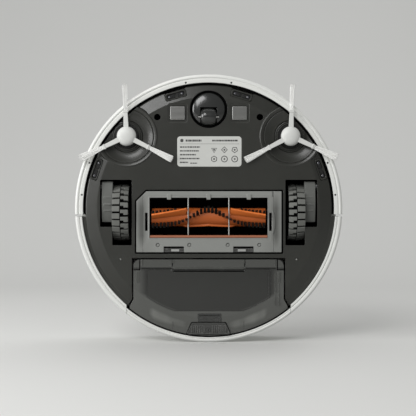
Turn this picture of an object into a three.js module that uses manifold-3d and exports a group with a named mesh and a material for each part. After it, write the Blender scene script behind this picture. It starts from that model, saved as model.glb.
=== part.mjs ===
// Round robot vacuum with a LiDAR turret, in millimetres.
// +Z is up, the wheels stand on z = 0, the front (bumper side) is -Y and the dust bin is at +Y.
import * as THREE from "three";
import { mergeVertices } from "three/addons/utils/BufferGeometryUtils.js";
import Module from "manifold-3d";

const wasm = await Module();
wasm.setup();

// ---- driving dimensions -------------------------------------------------------------------------
const BODY_R = 175; // outer radius of the bumper and the side bands
const GAP = 0.35; // clearance between pieces that touch
const PLATE_Z = 10; // underside of the chassis above the floor
const PLATE_T = 2.5; // chassis plate thickness
const PLATE_TOP = PLATE_Z + PLATE_T;
const BEVEL_R = 146; // where the underside starts to rise towards the rim
const RIM_R = 161; // outer radius of the chassis behind the bumper
const REAR_RIM_R = 165.2; // and of its plate behind the bumper's ends
const RIM_Z = 15; // height of the underside at the rim
const WALL_TOP = 79; // top of the chassis's rim wall
const RING_Z = 13.5; // underside of the bumper and the side bands
const RING_TOP = 74.4; // top edge of the bumper and the side bands
const SHELL_TOP = 82; // top face of the top cover
const BUMPER_END_Y = 8; // where the bumper ends on either side
const BUMPER_TRAVEL = 2.5;

const WHEEL = { x: 115, y: 5.5, r: 37.5, width: 21, hubR: 27 };
const ARM = { inner: 126, outer: 138.5, pivotY: -28, pivotZ: 18, pinR: 2.5 };
const BAY = { inner: 100, mid: 125.5, outer: 141.5, front: -37, rear: 48.4, gearRear: 24.5 };
const WELL = { inner: 98.2, outer: 143.4, front: -38.6, rear: 50.4, wall: 1.5, bottom: 15.2, top: 77.5 };

const CASTER = { y: -129, cupR: 26, bore: 23.2, domeR: 22.7, wheelY: -119, wheelR: 11.5, width: 19.5 };
const SIDE_BRUSH = { x: 106.8, y: -93.7, hubR: 12.7, reach: 66, bowlR: 39 };
const NOSE_R = 15.2; // the motor's nose that each side brush turns on
const CONTACT = { x: 40.4, y: -123.8, w: 19.6, d: 18 };
const SCREW = { x: 66.8, y: -118.6, r: 4.3, depth: 22 }; // deep wells for the screws that hold the top
const SMALL_HOLE = { x: 114.6, y: 66.7, r: 1.3 };
const LABEL = { x: 1, y: -73.8, w: 83.7, d: 39.4, corner: 4 };

const COVER = { left: -94, right: 95, front: -22, rear: 57.5, z: 8.2, t: 3.6, corner: 13 };
const MOUTH = { half: 76.9, front: -13.7, rear: 38.8 }; // the opening in the brush cover
const GUARD_X = 26.5;
const BRUSH = { y: 12, z: 24, shaftR: 6, sleeveR: 12.6, bladeR: 21.5, half: 75 };
const CHAMBER = { half: 88, r: 24.4, front: -16.5, rear: 41.5, top: 53 };

const BIN = {
  front: 65.2,
  half: 99.6,
  cornerY: 118.6,
  rimX: 104.6,
  rimY: 126.2,
  z: 10.2,
  top: 62,
  wall: 1.8,
};
const DOOR = { half: 80, front: 80, cornerY: 115.6, rearHalf: 44.5, rear: 133.5, t: 1.8 };
const LATCH = { front: 149, frontHalf: 22, rear: 164.8, rearHalf: 29.4 };
const FACADE_HALF = 107; // half width of the white band that leaves with the bin

const LIDAR = { y: 22, baseR: 47, baseBore: 40.5, spinR: 38, top: 96 };
const BUTTON = { x: 18, y: -128, r: 8 };

// ---- materials ----------------------------------------------------------------------------------
const finish = (color, roughness, metalness = 0) => () =>
  new THREE.MeshStandardMaterial({ color, roughness, metalness });
const white = finish(0xe6e7e3, 0.35);
const charcoal = finish(0x383935, 0.6);
const black = finish(0x0d0d0d, 0.7);
const grey = finish(0x8c8e89, 0.5);
const orange = finish(0xc4602c, 0.55);
const rubber = finish(0x2b2c2a, 0.85);
const steel = finish(0xb9bab8, 0.3, 1);
const smoky = finish(0x4a4c49, 0.15);
const green = finish(0x1d5a35, 0.5);
const pale = finish(0xc3c4be, 0.6);

// ---- solids from three geometry -----------------------------------------------------------------
function solid(geometry) {
  const bare = geometry.index ? geometry.toNonIndexed() : geometry.clone();
  bare.deleteAttribute("normal");
  bare.deleteAttribute("uv");
  const merged = mergeVertices(bare, 1e-4);
  return new wasm.Manifold(
    new wasm.Mesh({
      numProp: 3,
      vertProperties: new Float32Array(merged.attributes.position.array),
      triVerts: new Uint32Array(merged.index.array),
    }),
  );
}

const join = (pieces) => pieces.reduce((whole, piece) => whole.add(piece));
const cut = (body, tools) => tools.reduce((left, tool) => left.subtract(tool), body);

function box(x0, x1, y0, y1, z0, z1) {
  const geometry = new THREE.BoxGeometry(x1 - x0, y1 - y0, z1 - z0);
  return solid(geometry.translate((x0 + x1) / 2, (y0 + y1) / 2, (z0 + z1) / 2));
}

function disc(x, y, r, z0, z1, sides = 20) {
  const geometry = new THREE.CylinderGeometry(r, r, z1 - z0, sides).rotateX(Math.PI / 2);
  return solid(geometry.translate(x, y, (z0 + z1) / 2));
}

function rod(x0, x1, y, z, r, sides = 20) {
  const geometry = new THREE.CylinderGeometry(r, r, x1 - x0, sides).rotateZ(Math.PI / 2);
  return solid(geometry.translate((x0 + x1) / 2, y, z));
}

// A profile of [radius, height] pairs turned about the vertical line through (x, y).
function turned(profile, x = 0, y = 0, sides = 60) {
  const points = profile.map(([r, z]) => new THREE.Vector2(r, z));
  const geometry = new THREE.LatheGeometry([...points, points[0]], sides).rotateX(Math.PI / 2);
  return solid(geometry.translate(x, y, 0));
}

const ring = (x, y, inner, outer, z0, z1, sides) =>
  turned([[inner, z0], [outer, z0], [outer, z1], [inner, z1]], x, y, sides);

function slab(shape, z0, z1, curveSegments = 8) {
  const geometry = new THREE.ExtrudeGeometry(shape, { depth: z1 - z0, bevelEnabled: false, curveSegments });
  return solid(geometry.translate(0, 0, z0));
}

const outline = (points) => new THREE.Shape(points.map(([x, y]) => new THREE.Vector2(x, y)));

function roundedRect(x0, x1, y0, y1, r) {
  const shape = new THREE.Shape();
  shape.moveTo(x0 + r, y0);
  shape.lineTo(x1 - r, y0).absarc(x1 - r, y0 + r, r, -Math.PI / 2, 0);
  shape.lineTo(x1, y1 - r).absarc(x1 - r, y1 - r, r, 0, Math.PI / 2);
  shape.lineTo(x0 + r, y1).absarc(x0 + r, y1 - r, r, Math.PI / 2, Math.PI);
  shape.lineTo(x0, y0 + r).absarc(x0 + r, y0 + r, r, Math.PI, Math.PI * 1.5);
  return shape;
}

// A side profile of [y, z] pairs made into a plate between x0 and x1.
function sidePlate(points, x0, x1) {
  const geometry = new THREE.ExtrudeGeometry(outline(points), { depth: x1 - x0, bevelEnabled: false });
  const columns = [new THREE.Vector3(0, 1, 0), new THREE.Vector3(0, 0, 1), new THREE.Vector3(1, 0, 0)];
  geometry.applyMatrix4(new THREE.Matrix4().makeBasis(...columns));
  return solid(geometry.translate(x0, 0, 0));
}

function circlePoints(y, z, r, count) {
  const step = (2 * Math.PI) / count;
  return Array.from({ length: count }, (_, i) => [y + r * Math.cos(i * step), z + r * Math.sin(i * step)]);
}

const mirrored = (body) => body.mirror([1, 0, 0]);
const sided = (body, side) => (side < 0 ? mirrored(body) : body);
const turnedBy = (body, degrees) => body.rotate([0, 0, degrees]);

function mesh(name, body, material) {
  const { vertProperties, triVerts } = body.getMesh();
  const geometry = new THREE.BufferGeometry();
  geometry.setAttribute("position", new THREE.BufferAttribute(new Float32Array(vertProperties), 3));
  geometry.setIndex(new THREE.BufferAttribute(new Uint32Array(triVerts), 1));
  const node = new THREE.Mesh(geometry, material());
  node.name = name;
  return node;
}

const SIDES = [["left", -1], ["right", 1]];
const pair = (name, build, material) =>
  SIDES.map(([word, side]) => mesh(`${name}_${word}`, sided(build(side), side), material));

// ---- chassis ------------------------------------------------------------------------------------
function bayOutline() {
  return outline([
    [BAY.inner, BAY.front],
    [BAY.outer, BAY.front],
    [BAY.outer, BAY.gearRear],
    [BAY.mid, BAY.gearRear],
    [BAY.mid, BAY.rear],
    [BAY.inner, BAY.rear],
  ]);
}

function binOutline(grow) {
  const rear = BODY_R + 10;
  return outline([
    [-BIN.half - grow, BIN.front - grow],
    [BIN.half + grow, BIN.front - grow],
    [BIN.half + grow, BIN.cornerY],
    [BIN.rimX + grow, BIN.rimY - grow],
    [BIN.rimX + grow, rear],
    [-BIN.rimX - grow, rear],
    [-BIN.rimX - grow, BIN.rimY - grow],
    [-BIN.half - grow, BIN.cornerY],
  ]);
}

function coverOutline(grow) {
  return outline([
    [COVER.left + COVER.corner, COVER.front - grow],
    [COVER.right + grow, COVER.front - grow],
    [COVER.right + grow, COVER.rear + grow],
    [COVER.left - grow, COVER.rear + grow],
    [COVER.left - grow, COVER.front + COVER.corner],
  ]);
}

// The scoop that the side brush turns in, deepest round its hub.
const sideBrushBowl = () =>
  turned(
    [
      [0, PLATE_Z - 1],
      [SIDE_BRUSH.bowlR, PLATE_Z - 1],
      [SIDE_BRUSH.bowlR, PLATE_Z + 0.4],
      [SIDE_BRUSH.bowlR - 3, PLATE_Z + 1],
      [SIDE_BRUSH.bowlR - 4, PLATE_Z + 1.8],
      [SIDE_BRUSH.bowlR - 10, PLATE_Z + 4],
      [0, PLATE_Z + 4.4],
    ],
    SIDE_BRUSH.x,
    SIDE_BRUSH.y,
    32,
  );

const CLIFF = { w: 28, d: 9.5 };
const CLIFF_PLACES = [
  ["cliff_sensor_front_left", -43, -147.4],
  ["cliff_sensor_front_right", 43, -147.4],
  ["cliff_sensor_side_left", -146.2, -50.7],
  ["cliff_sensor_side_right", 146.2, -50.7],
];

// A block standing across the rim at one cliff sensor's place, its long side along the rim.
function cliffBlock(x, y, w, d, z0, z1) {
  const facing = (Math.atan2(y, x) * 180) / Math.PI + 90;
  return box(-w / 2, w / 2, -d / 2, d / 2, z0, z1).rotate([0, 0, facing]).translate([x, y, 0]);
}

// The plate is smaller where the bumper has to move in.
function bumperRoom() {
  const front = box(-200, 200, -200, BUMPER_END_Y + BUMPER_TRAVEL, 0, 100);
  return ring(0, 0, RIM_R, 190, 0, 100, 48).intersect(front);
}

function chassisBase() {
  const plateProfile = [
    [0, PLATE_Z],
    [BEVEL_R, PLATE_Z],
    [RIM_R, RIM_Z],
    [REAR_RIM_R, RIM_Z],
    [REAR_RIM_R, RIM_Z + PLATE_T],
    [RIM_R, RIM_Z + PLATE_T],
    [BEVEL_R - 1, PLATE_TOP],
    [0, PLATE_TOP],
  ];
  const plate = cut(turned(plateProfile, 0, 0, 48), [bumperRoom()]);
  const wall = ring(0, 0, RIM_R - 2.5, RIM_R, RIM_Z + 0.5, WALL_TOP, 48);
  const inside = disc(0, 0, RIM_R - 0.5, 0, WALL_TOP, 48);
  const { x: brushX, y: brushY, bowlR } = SIDE_BRUSH;
  const pads = SIDES.map(([, side]) =>
    disc(side * brushX, brushY, bowlR + 3, PLATE_Z + 2, PLATE_Z + 7, 32).intersect(inside),
  );
  const screwTowers = SIDES.map(([, side]) =>
    disc(side * SCREW.x, SCREW.y, SCREW.r + 2.7, PLATE_TOP - 1, SCREW.depth + 4),
  );
  const binWalls = SIDES.map(([, side]) =>
    sided(box(BIN.half + GAP, BIN.half + 2.4, BIN.front - 1.5, BIN.cornerY - 1, PLATE_TOP - 1, 66), side),
  );
  const contactWalls = box(-57, 57, -137.5, -111.5, PLATE_TOP - 1, PLATE_TOP + 2);
  const body = join([plate, wall, ...pads, ...screwTowers, ...binWalls, contactWalls]);
  const holes = [
    slab(coverOutline(1.5), 0, PLATE_TOP + 20),
    slab(binOutline(GAP), 0, WALL_TOP + 5),
    disc(0, CASTER.y, CASTER.cupR, 0, 40, 32),
  ];
  for (const [, side] of SIDES) {
    holes.push(sided(slab(bayOutline(), 0, 40), side));
    holes.push(sided(sideBrushBowl(), side));
    holes.push(disc(side * SIDE_BRUSH.x, SIDE_BRUSH.y, NOSE_R + GAP, 0, 40, 24));
    holes.push(disc(side * SCREW.x, SCREW.y, SCREW.r, 0, SCREW.depth));
    holes.push(disc(side * SMALL_HOLE.x, SMALL_HOLE.y, SMALL_HOLE.r, 0, 40, 12));
    holes.push(sided(contactRecess(), side));
  }
  for (const [, x, y] of CLIFF_PLACES) {
    holes.push(cliffBlock(x, y, CLIFF.w + 1, CLIFF.d + 1, 0, 19.5));
  }
  return cut(body, holes);
}

function contactRecess() {
  const { x, y, w, d } = CONTACT;
  return join([
    box(x - 12.5, x + 12.5, y - 13, y + 10, 0, PLATE_Z + 0.7),
    box(x - w / 2 - GAP, x + w / 2 + GAP, y - d / 2 - GAP, y + d / 2 + GAP, 0, PLATE_Z + 2),
  ]);
}

const chargingContact = () => {
  const { x, y, w, d } = CONTACT;
  return slab(roundedRect(x - w / 2, x + w / 2, y - d / 2, y + d / 2, 1.5), PLATE_Z - 0.6, PLATE_Z + 1.6, 3);
};

function cliffSensor(x, y) {
  const body = cliffBlock(x, y, CLIFF.w, CLIFF.d, 13.2, 19);
  const along = Math.atan2(y, x) + Math.PI / 2;
  const lenses = [-1, 1].map((end) =>
    disc(x + end * 6.5 * Math.cos(along), y + end * 6.5 * Math.sin(along), 2.6, 12.2, 14, 16),
  );
  return join([body, ...lenses]);
}

// ---- white ring: bumper, side bands and the bin's facade ----------------------------------------
const ringProfile = (flangeInner) => [
  [flangeInner, RING_Z + 0.6],
  [flangeInner + 0.6, RING_Z],
  [169, RING_Z],
  [169.6, RING_Z + 0.8],
  [170.4, RING_Z],
  [172.6, RING_Z - 0.3],
  [BODY_R - 0.6, RING_Z + 0.6],
  [BODY_R, RING_Z + 2.6],
  [BODY_R, RING_TOP - 2],
  [BODY_R - 1, RING_TOP],
  [167.5, RING_TOP],
  [167.5, RING_TOP - 2],
  [BODY_R - 2.6, RING_TOP - 2.4],
  [BODY_R - 2.6, RING_Z + 3.4],
  [flangeInner, RING_Z + 2.2],
];

const wholeRing = (flangeInner) => turned(ringProfile(flangeInner), 0, 0, 60);

function bumper() {
  const front = box(-200, 200, -200, BUMPER_END_Y, 0, 100);
  const screwHoles = [10.3, 69.2, 84].flatMap((angle) =>
    [-1, 1].map((side) => {
      const turn = (side * angle * Math.PI) / 180;
      return disc(166.5 * Math.sin(turn), -166.5 * Math.cos(turn), 1.3, 0, RING_Z + 5, 12);
    }),
  );
  return cut(wholeRing(164.1).intersect(front), screwHoles);
}

function sideBand() {
  const start = BUMPER_END_Y + BUMPER_TRAVEL + GAP;
  return wholeRing(165.6).intersect(box(FACADE_HALF + GAP, 200, start, 200, 0, 100));
}

const binFacade = () => wholeRing(168.6).intersect(box(-FACADE_HALF, FACADE_HALF, 0, 200, 0, 100));

// ---- top: cover, buttons and turret -------------------------------------------------------------
function topShell() {
  const skin = turned(
    [
      [0, SHELL_TOP - 2.5],
      [166, SHELL_TOP - 2.5],
      [166, RING_TOP + GAP],
      [173.4, RING_TOP + GAP],
      [174.6, RING_TOP + 2],
      [174, RING_TOP + 4.6],
      [171.5, SHELL_TOP - 0.6],
      [168, SHELL_TOP],
      [0, SHELL_TOP],
    ],
    0,
    0,
    60,
  );
  const buttonHoles = [-1, 1].map((side) => disc(side * BUTTON.x, BUTTON.y, BUTTON.r + GAP, 70, 90));
  return cut(skin, [disc(0, LIDAR.y, LIDAR.baseR - 4, 70, 90, 36), ...buttonHoles]);
}

const button = (side) =>
  join([
    disc(side * BUTTON.x, BUTTON.y, BUTTON.r, 78, SHELL_TOP + 0.8),
    disc(side * BUTTON.x, BUTTON.y, BUTTON.r + 1.6, 76.6, SHELL_TOP - 2.5 - GAP),
  ]);

function lidarBase() {
  const { y, baseR, baseBore } = LIDAR;
  const profile = [
    [baseBore, 72],
    [baseR - 4.4, 72],
    [baseR - 4.4, SHELL_TOP + GAP],
    [baseR, SHELL_TOP + GAP],
    [baseR - 0.5, SHELL_TOP + 2.6],
    [baseBore, SHELL_TOP + 2.6],
  ];
  const floor = disc(0, y, baseBore + 1.5, 72, 74, 36);
  return turned(profile, 0, y, 36).add(floor);
}

function lidarCap() {
  const { y, baseR, top } = LIDAR;
  const profile = [
    [0, top - 2.6],
    [baseR - 0.6, top - 2.6],
    [baseR, top - 1.8],
    [baseR - 1.6, top],
    [0, top],
  ];
  const lid = turned(profile, 0, y, 36);
  const posts = [45, 135, 225, 315].map((angle) =>
    turnedBy(box(-3.5, 3.5, 42, 45.4, SHELL_TOP + 2.6 + GAP, top - 2), angle).translate([0, y, 0]),
  );
  return join([lid, ...posts]);
}

function lidarSpinner() {
  const { y, spinR, top } = LIDAR;
  const drum = disc(0, y, spinR, 74.4, top - 3, 36);
  const windows = [-9, 9].map((x) =>
    box(x - 6, x + 6, y - spinR - 1, y - spinR + 9, SHELL_TOP + 2, top - 4.5),
  );
  return cut(drum, windows);
}

// ---- inside -------------------------------------------------------------------------------------
const batteryPack = () => slab(roundedRect(-64, 64, -98, -44, 6), PLATE_TOP + GAP, 50, 3);

function mainBoard() {
  const board = slab(roundedRect(-58, 58, -100, -30, 4), 56, 57.6, 3);
  const chips = [
    box(-14, 6, -76, -56, 57.2, 60),
    box(20, 34, -70, -58, 57.2, 59.4),
    box(-50, -30, -92, -84, 57.2, 65),
    box(30, 50, -94, -86, 57.2, 65),
  ];
  const capacitors = [0, 1, 2].map((i) => disc(-44 + i * 10, -50, 3.5, 57.2, 68, 16));
  return join([board, ...chips, ...capacitors]);
}

const FAN = { y: 25, r: 33, floor: 53.5, top: 71.5 };

function fanHousing() {
  const body = disc(0, FAN.y, FAN.r, FAN.floor, FAN.top, 32);
  const snout = box(20, 44, FAN.y - FAN.r + 6, FAN.y - FAN.r + 22, FAN.floor, FAN.top);
  const hollow = disc(0, FAN.y, FAN.r - 3, FAN.floor + 2, FAN.top - 2, 32);
  const inlet = disc(0, FAN.y, 13, FAN.top - 3, FAN.top + 1);
  const outlet = box(10, 50, FAN.y - FAN.r + 8, FAN.y - FAN.r + 20, FAN.floor + 2, FAN.top - 2);
  return cut(join([body, snout]), [hollow, inlet, outlet]);
}

function fanImpeller() {
  const back = disc(0, FAN.y, 26, FAN.floor + 3, FAN.floor + 4.5, 32);
  const hub = disc(0, FAN.y, 7, FAN.floor + 3, FAN.top - 4);
  const vanes = Array.from({ length: 9 }, (_, i) =>
    box(5, 25.5, -0.6, 0.6, FAN.floor + 4, FAN.top - 5).rotate([0, 0, i * 40]).translate([0, FAN.y, 0]),
  );
  return join([back, hub, ...vanes]);
}

function brushChamber() {
  const { half, front, rear, top } = CHAMBER;
  const flange = box(-97.4, 97.4, -26, 60.6, PLATE_TOP + GAP, PLATE_TOP + 2.2);
  const block = box(-half, half, front, rear, PLATE_TOP + 1, top);
  const trough = rod(-half + 4, half - 4, BRUSH.y, BRUSH.z, CHAMBER.r, 48);
  const mouth = box(-half + 4, half - 4, BRUSH.y - CHAMBER.r, BRUSH.y + CHAMBER.r, 0, BRUSH.z);
  const duct = box(-60, 0, BRUSH.y, rear + 5, 24, 44);
  const shaftHole = rod(-half - 1, half + 1, BRUSH.y, BRUSH.z, 8.4);
  const lastWindow = box(-90, 90, -10, 45, PLATE_TOP - 1, PLATE_TOP + 1);
  return cut(join([flange, block]), [trough, mouth, duct, shaftHole, lastWindow]);
}

function brushGearmotor() {
  const plate = box(-97.2, -CHAMBER.half - GAP, -12, 36, PLATE_TOP + 2.2 + GAP, 76);
  const socket = rod(-98, -CHAMBER.half, BRUSH.y, BRUSH.z, 8.4);
  const motor = rod(-CHAMBER.half - 2, -44, BRUSH.y, 63, 9);
  return cut(join([plate, motor]), [socket]);
}

function sideBrushMotor() {
  const { x, y } = SIDE_BRUSH;
  const nose = disc(x, y, NOSE_R, PLATE_Z + 2.4, 19, 24);
  const gearbox = slab(roundedRect(x - 28, x + 8, y - 12, y + 24, 6), 17.4, 34, 2);
  const motor = disc(x - 9, y + 8, 12, 33, 54);
  const bore = disc(x, y, 3.08, 0, 26, 16);
  return cut(join([nose, gearbox, motor]), [bore]);
}

// ---- drive wheels -------------------------------------------------------------------------------
function wheelWell() {
  const { inner, outer, front, rear, wall, bottom, top } = WELL;
  const shell = box(inner, outer, front, rear, bottom, top);
  const hollow = box(inner + wall, outer - wall, front + wall, rear - wall, 0, top - wall);
  const floor = box(
    BAY.mid + 2,
    outer - wall + 0.1,
    BAY.gearRear + 2,
    rear - wall + 0.1,
    bottom,
    bottom + wall,
  );
  return join([cut(shell, [hollow]), floor]);
}

function suspensionPin() {
  const { inner, pivotY, pivotZ, pinR } = ARM;
  return rod(inner - 0.4, WELL.outer - WELL.wall - GAP, pivotY, pivotZ, pinR);
}

// The gearbox's outline seen from the side, as [y, z] pairs.
const ARM_SIDE = [
  [-35, 16],
  [-32.5, 12],
  [-29, 11.2],
  [13.5, 11.2],
  [17.4, 15],
  [17.4, 40],
  [11, 47.5],
  [-4, 49],
  [-14, 42],
  [-25, 26],
  [-31, 24],
  [-35, 20],
];

function wheelArm() {
  const { inner, outer, pivotY, pivotZ } = ARM;
  const housing = sidePlate(ARM_SIDE, inner, outer);
  const motor = rod(inner, outer - 0.5, -6, 52, 12);
  const bores = [
    rod(inner - 1, outer + 1, pivotY, pivotZ, ARM.pinR + 0.08),
    rod(inner - 1, inner + 9, WHEEL.y, WHEEL.r, 4.08, 32),
  ];
  return cut(join([housing, motor]), bores);
}

// A torsion spring of two turns round the pin.
function suspensionSpring() {
  class Coil extends THREE.Curve {
    getPoint(t, target = new THREE.Vector3()) {
      const turn = t * 2.25 * 2 * Math.PI;
      const across = ARM.outer + 0.9 + t * 1.9;
      return target.set(across, ARM.pivotY + 5 * Math.cos(turn), ARM.pivotZ + 5 * Math.sin(turn));
    }
  }
  const section = new THREE.Shape();
  section.absarc(0, 0, 0.4, 0, Math.PI * 2);
  const options = { steps: 30, extrudePath: new Coil(), bevelEnabled: false, curveSegments: 3 };
  return solid(new THREE.ExtrudeGeometry(section, options));
}

function wheelHub() {
  const half = WHEEL.width / 2;
  const disk = rod(WHEEL.x - half + 1, WHEEL.x + half - 1, WHEEL.y, WHEEL.r, WHEEL.hubR, 32);
  const axle = rod(WHEEL.x, ARM.inner + 8, WHEEL.y, WHEEL.r, 4, 32);
  const pockets = Array.from({ length: 6 }, (_, i) => {
    const turn = (i * Math.PI) / 3;
    return rod(0, WHEEL.x - 2, WHEEL.y + 17 * Math.cos(turn), WHEEL.r + 17 * Math.sin(turn), 6, 8);
  });
  return cut(join([disk, axle]), pockets);
}

// Two staggered rows of blocks round a band.
function tyre() {
  const half = WHEEL.width / 2;
  const band = sidePlate(circlePoints(WHEEL.y, WHEEL.r, WHEEL.r - 1.8, 40), WHEEL.x - half, WHEEL.x + half);
  const bore = rod(0, 200, WHEEL.y, WHEEL.r, WHEEL.hubR + GAP, 32);
  const blocks = [];
  const count = 16;
  const blockHalf = 4.2;
  const blockTop = Math.sqrt(WHEEL.r ** 2 - blockHalf ** 2);
  for (const row of [0, 1]) {
    const x0 = row ? WHEEL.x + 0.6 : WHEEL.x - half;
    for (let i = 0; i < count; i += 1) {
      const turn = ((i + row / 2) * 360) / count;
      const block = box(x0, x0 + half - 0.6, -blockHalf, blockHalf, -blockTop, -blockTop + 3);
      blocks.push(block.rotate([turn, 0, 0]).translate([0, WHEEL.y, WHEEL.r]));
    }
  }
  return cut(join([band, ...blocks]), [bore]);
}

// ---- caster -------------------------------------------------------------------------------------
function casterSocket() {
  const { y, cupR, bore } = CASTER;
  const profile = [
    [bore, PLATE_Z - 0.4],
    [cupR - GAP, PLATE_Z - 0.4],
    [cupR - GAP, 28],
    [0, 28],
    [0, 26],
    [bore, 26],
  ];
  return turned(profile, 0, y, 32);
}

function casterHousing() {
  const { y, domeR, wheelY, wheelR, width } = CASTER;
  const profile = [
    [0, 7.4],
    [12, 7.8],
    [18.5, 9],
    [domeR, 11.6],
    [domeR, 25.6],
    [0, 25.6],
  ];
  const dome = turned(profile, 0, y, 32);
  const half = width / 2 + 0.8;
  const slot = rod(-half, half, wheelY, wheelR, wheelR + 0.8, 24);
  const mouth = box(-half, half, wheelY - wheelR - 0.8, wheelY + wheelR + 4, 0, wheelR);
  const axleHole = rod(-half - 4.2, half + 4.2, wheelY, wheelR, 1.6, 16);
  return cut(dome, [slot, mouth, axleHole]);
}

const casterAxle = () =>
  rod(-CASTER.width / 2 - 4.4, CASTER.width / 2 + 4.4, CASTER.wheelY, CASTER.wheelR, 1.5, 16);

function casterWheel() {
  const { wheelY, wheelR, width } = CASTER;
  const half = width / 2;
  const profile = [
    [0, -half],
    [9.5, -half],
    [wheelR, -half + 4],
    [wheelR, half - 4],
    [9.5, half],
    [0, half],
  ];
  const drum = turned(profile, 0, 0, 24).rotate([0, 90, 0]).translate([0, wheelY, wheelR]);
  return cut(drum, [rod(-half - 1, half + 1, wheelY, wheelR, 1.58, 16)]);
}

// ---- side brush ---------------------------------------------------------------------------------
// Each arm's direction in degrees, so that the two brushes pass each other's cliff sensors in turn.
const ARM_ANGLES = { left: [-92, -333, -206], right: [-88, -208, -335] };

function sideBrush(word, side) {
  const { x, y, hubR, reach } = SIDE_BRUSH;
  const profile = [
    [0, 2.6],
    [5, 2.9],
    [9, 3.9],
    [11.6, 5.4],
    [hubR, 7.6],
    [hubR, 9.6],
    [0, 9.6],
  ];
  const hub = turned(profile, 0, 0, 24);
  const neck = disc(0, 0, 8, 9, PLATE_Z + 1.6);
  const shaft = disc(0, 0, 3, 9, 24, 16);
  const arms = ARM_ANGLES[word].map((angle) => {
    const rubberArm = slab(outline([[8, -3.4], [33, -2.9], [33, 2.9], [8, 3.4]]), 5.4, 8.6);
    const tuft = slab(outline([[32, -2.4], [reach, -4.6], [reach, 4.6], [32, 2.4]]), 5.9, 8.1);
    return join([rubberArm, tuft]).rotate([0, 0, angle]);
  });
  return join([hub, neck, shaft, ...arms]).translate([side * x, y, 0]);
}

// ---- main brush ---------------------------------------------------------------------------------
// How far the blades have turned at a place along the brush: fast near the middle, slower towards the ends.
const BLADE_TWIST = (53 * Math.PI) / 180;
const BLADE_LEAD = (62 * Math.PI) / 180; // how far short of straight down the first blade is in the middle
const bladeTurn = (along) => BLADE_TWIST * (Math.abs(along) / BRUSH.half) ** 0.65;

function mainBrushCore() {
  const shaft = rod(-80, 80, BRUSH.y, BRUSH.z, BRUSH.shaftR);
  const ends = [-1, 1].map((side) => rod(side * 79 - 2.4, side * 79 + 2.4, BRUSH.y, BRUSH.z, 11.6, 24));
  const drive = sidePlate(circlePoints(BRUSH.y, BRUSH.z, 6.5, 4), -93, -79);
  const stub = rod(79, 87, BRUSH.y, BRUSH.z, 4, 32);
  return join([shaft, ...ends, drive, stub]);
}

// A sleeve with two swept blades on each half. They start beside the guard wires.
function mainBrushSleeve() {
  const { y, z, shaftR, sleeveR, bladeR, half } = BRUSH;
  const section = new THREE.Shape();
  const points = [];
  for (const middle of [0, Math.PI]) {
    const point = (r, offset) =>
      new THREE.Vector2(r * Math.cos(middle + offset), r * Math.sin(middle + offset));
    points.push(point(bladeR, -0.05), point(bladeR, 0.05));
    for (let i = 0; i < 9; i += 1) {
      points.push(point(sleeveR, 0.16 + (i * (Math.PI - 0.32)) / 8));
    }
  }
  section.setFromPoints(points);
  const length = half - 0.6;
  const geometry = new THREE.ExtrudeGeometry(section, { depth: 2 * length, steps: 16, bevelEnabled: false });
  geometry.translate(0, 0, -length);
  const position = geometry.attributes.position;
  for (let i = 0; i < position.count; i += 1) {
    const along = position.getZ(i);
    const turn = Math.PI * 1.5 - BLADE_LEAD + bladeTurn(along);
    const across = position.getX(i);
    const up = position.getY(i);
    const turnedAcross = across * Math.cos(turn) - up * Math.sin(turn);
    const turnedUp = across * Math.sin(turn) + up * Math.cos(turn);
    position.setXYZ(i, along, turnedAcross + y, turnedUp + z);
  }
  const start = GUARD_X + 2.4;
  const middle = rod(-start, start, y, z, bladeR + 2, 32).subtract(rod(-50, 50, y, z, sleeveR + 0.1, 32));
  return cut(solid(geometry), [middle, rod(-100, 100, y, z, shaftR + 0.3)]);
}

const mainBrushBearing = () =>
  rod(84.4, 96, BRUSH.y, BRUSH.z, 8).subtract(rod(80, 92, BRUSH.y, BRUSH.z, 4.08, 32));

// ---- brush cover --------------------------------------------------------------------------------
const LATCH_X = 45.3; // middle of each cover latch
const SCRAPER_FRONT = 35.3;

function brushCover() {
  const { z, t } = COVER;
  const top = z + t;
  const plate = slab(coverOutline(0), z, top);
  const tabs = [-51.4, 0, 52.4].map((x) =>
    box(x - 2.5, x + 2.5, MOUTH.front - 1, MOUTH.front + 2.2, z, z + 2),
  );
  const mouth = box(-MOUTH.half, MOUTH.half, MOUTH.front, MOUTH.rear, 0, 20);
  const slots = [-80.5, 80.5].map((x) => box(x - 1.6, x + 1.6, 6.2, 29.4, 0, 20));
  const dimples = [-66, -25, 25, 66].map((x) => disc(x, 48, 2.5, 0, z + 1.2, 16));
  const latchPockets = [-LATCH_X, LATCH_X].map((x) => box(x - 13.2, x + 13.2, 49.8, COVER.rear + 2, 0, 20));
  return join([cut(plate, [mouth, ...slots, ...dimples, ...latchPockets]), ...tabs]);
}

const guardWire = () =>
  box(GUARD_X - 0.9, GUARD_X + 0.9, MOUTH.front + GAP, SCRAPER_FRONT - GAP, 8.8, 10.8);

const scraperStrip = () =>
  box(-MOUTH.half + GAP, MOUTH.half - GAP, SCRAPER_FRONT, MOUTH.rear - GAP, COVER.z + 0.4, PLATE_TOP - 0.3);

function coverLatch() {
  const { z, t } = COVER;
  const plate = box(LATCH_X - 12.8, LATCH_X + 12.8, 52, COVER.rear - 0.2, z + 0.8, z + t);
  const tab = box(LATCH_X - 5.5, LATCH_X + 5.5, 53.8, 56.4, z - 0.2, z + 1);
  return join([plate, tab]);
}

// ---- dust bin -----------------------------------------------------------------------------------
const FILTER = { x0: 14, x1: 80, z0: 20, z1: 54 };

function doorOutline(grow) {
  const { half, front, cornerY, rearHalf, rear } = DOOR;
  return outline([
    [-half - grow, front - grow],
    [half + grow, front - grow],
    [half + grow, cornerY],
    [rearHalf + grow, rear + grow],
    [-rearHalf - grow, rear + grow],
    [-half - grow, cornerY],
  ]);
}

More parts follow.
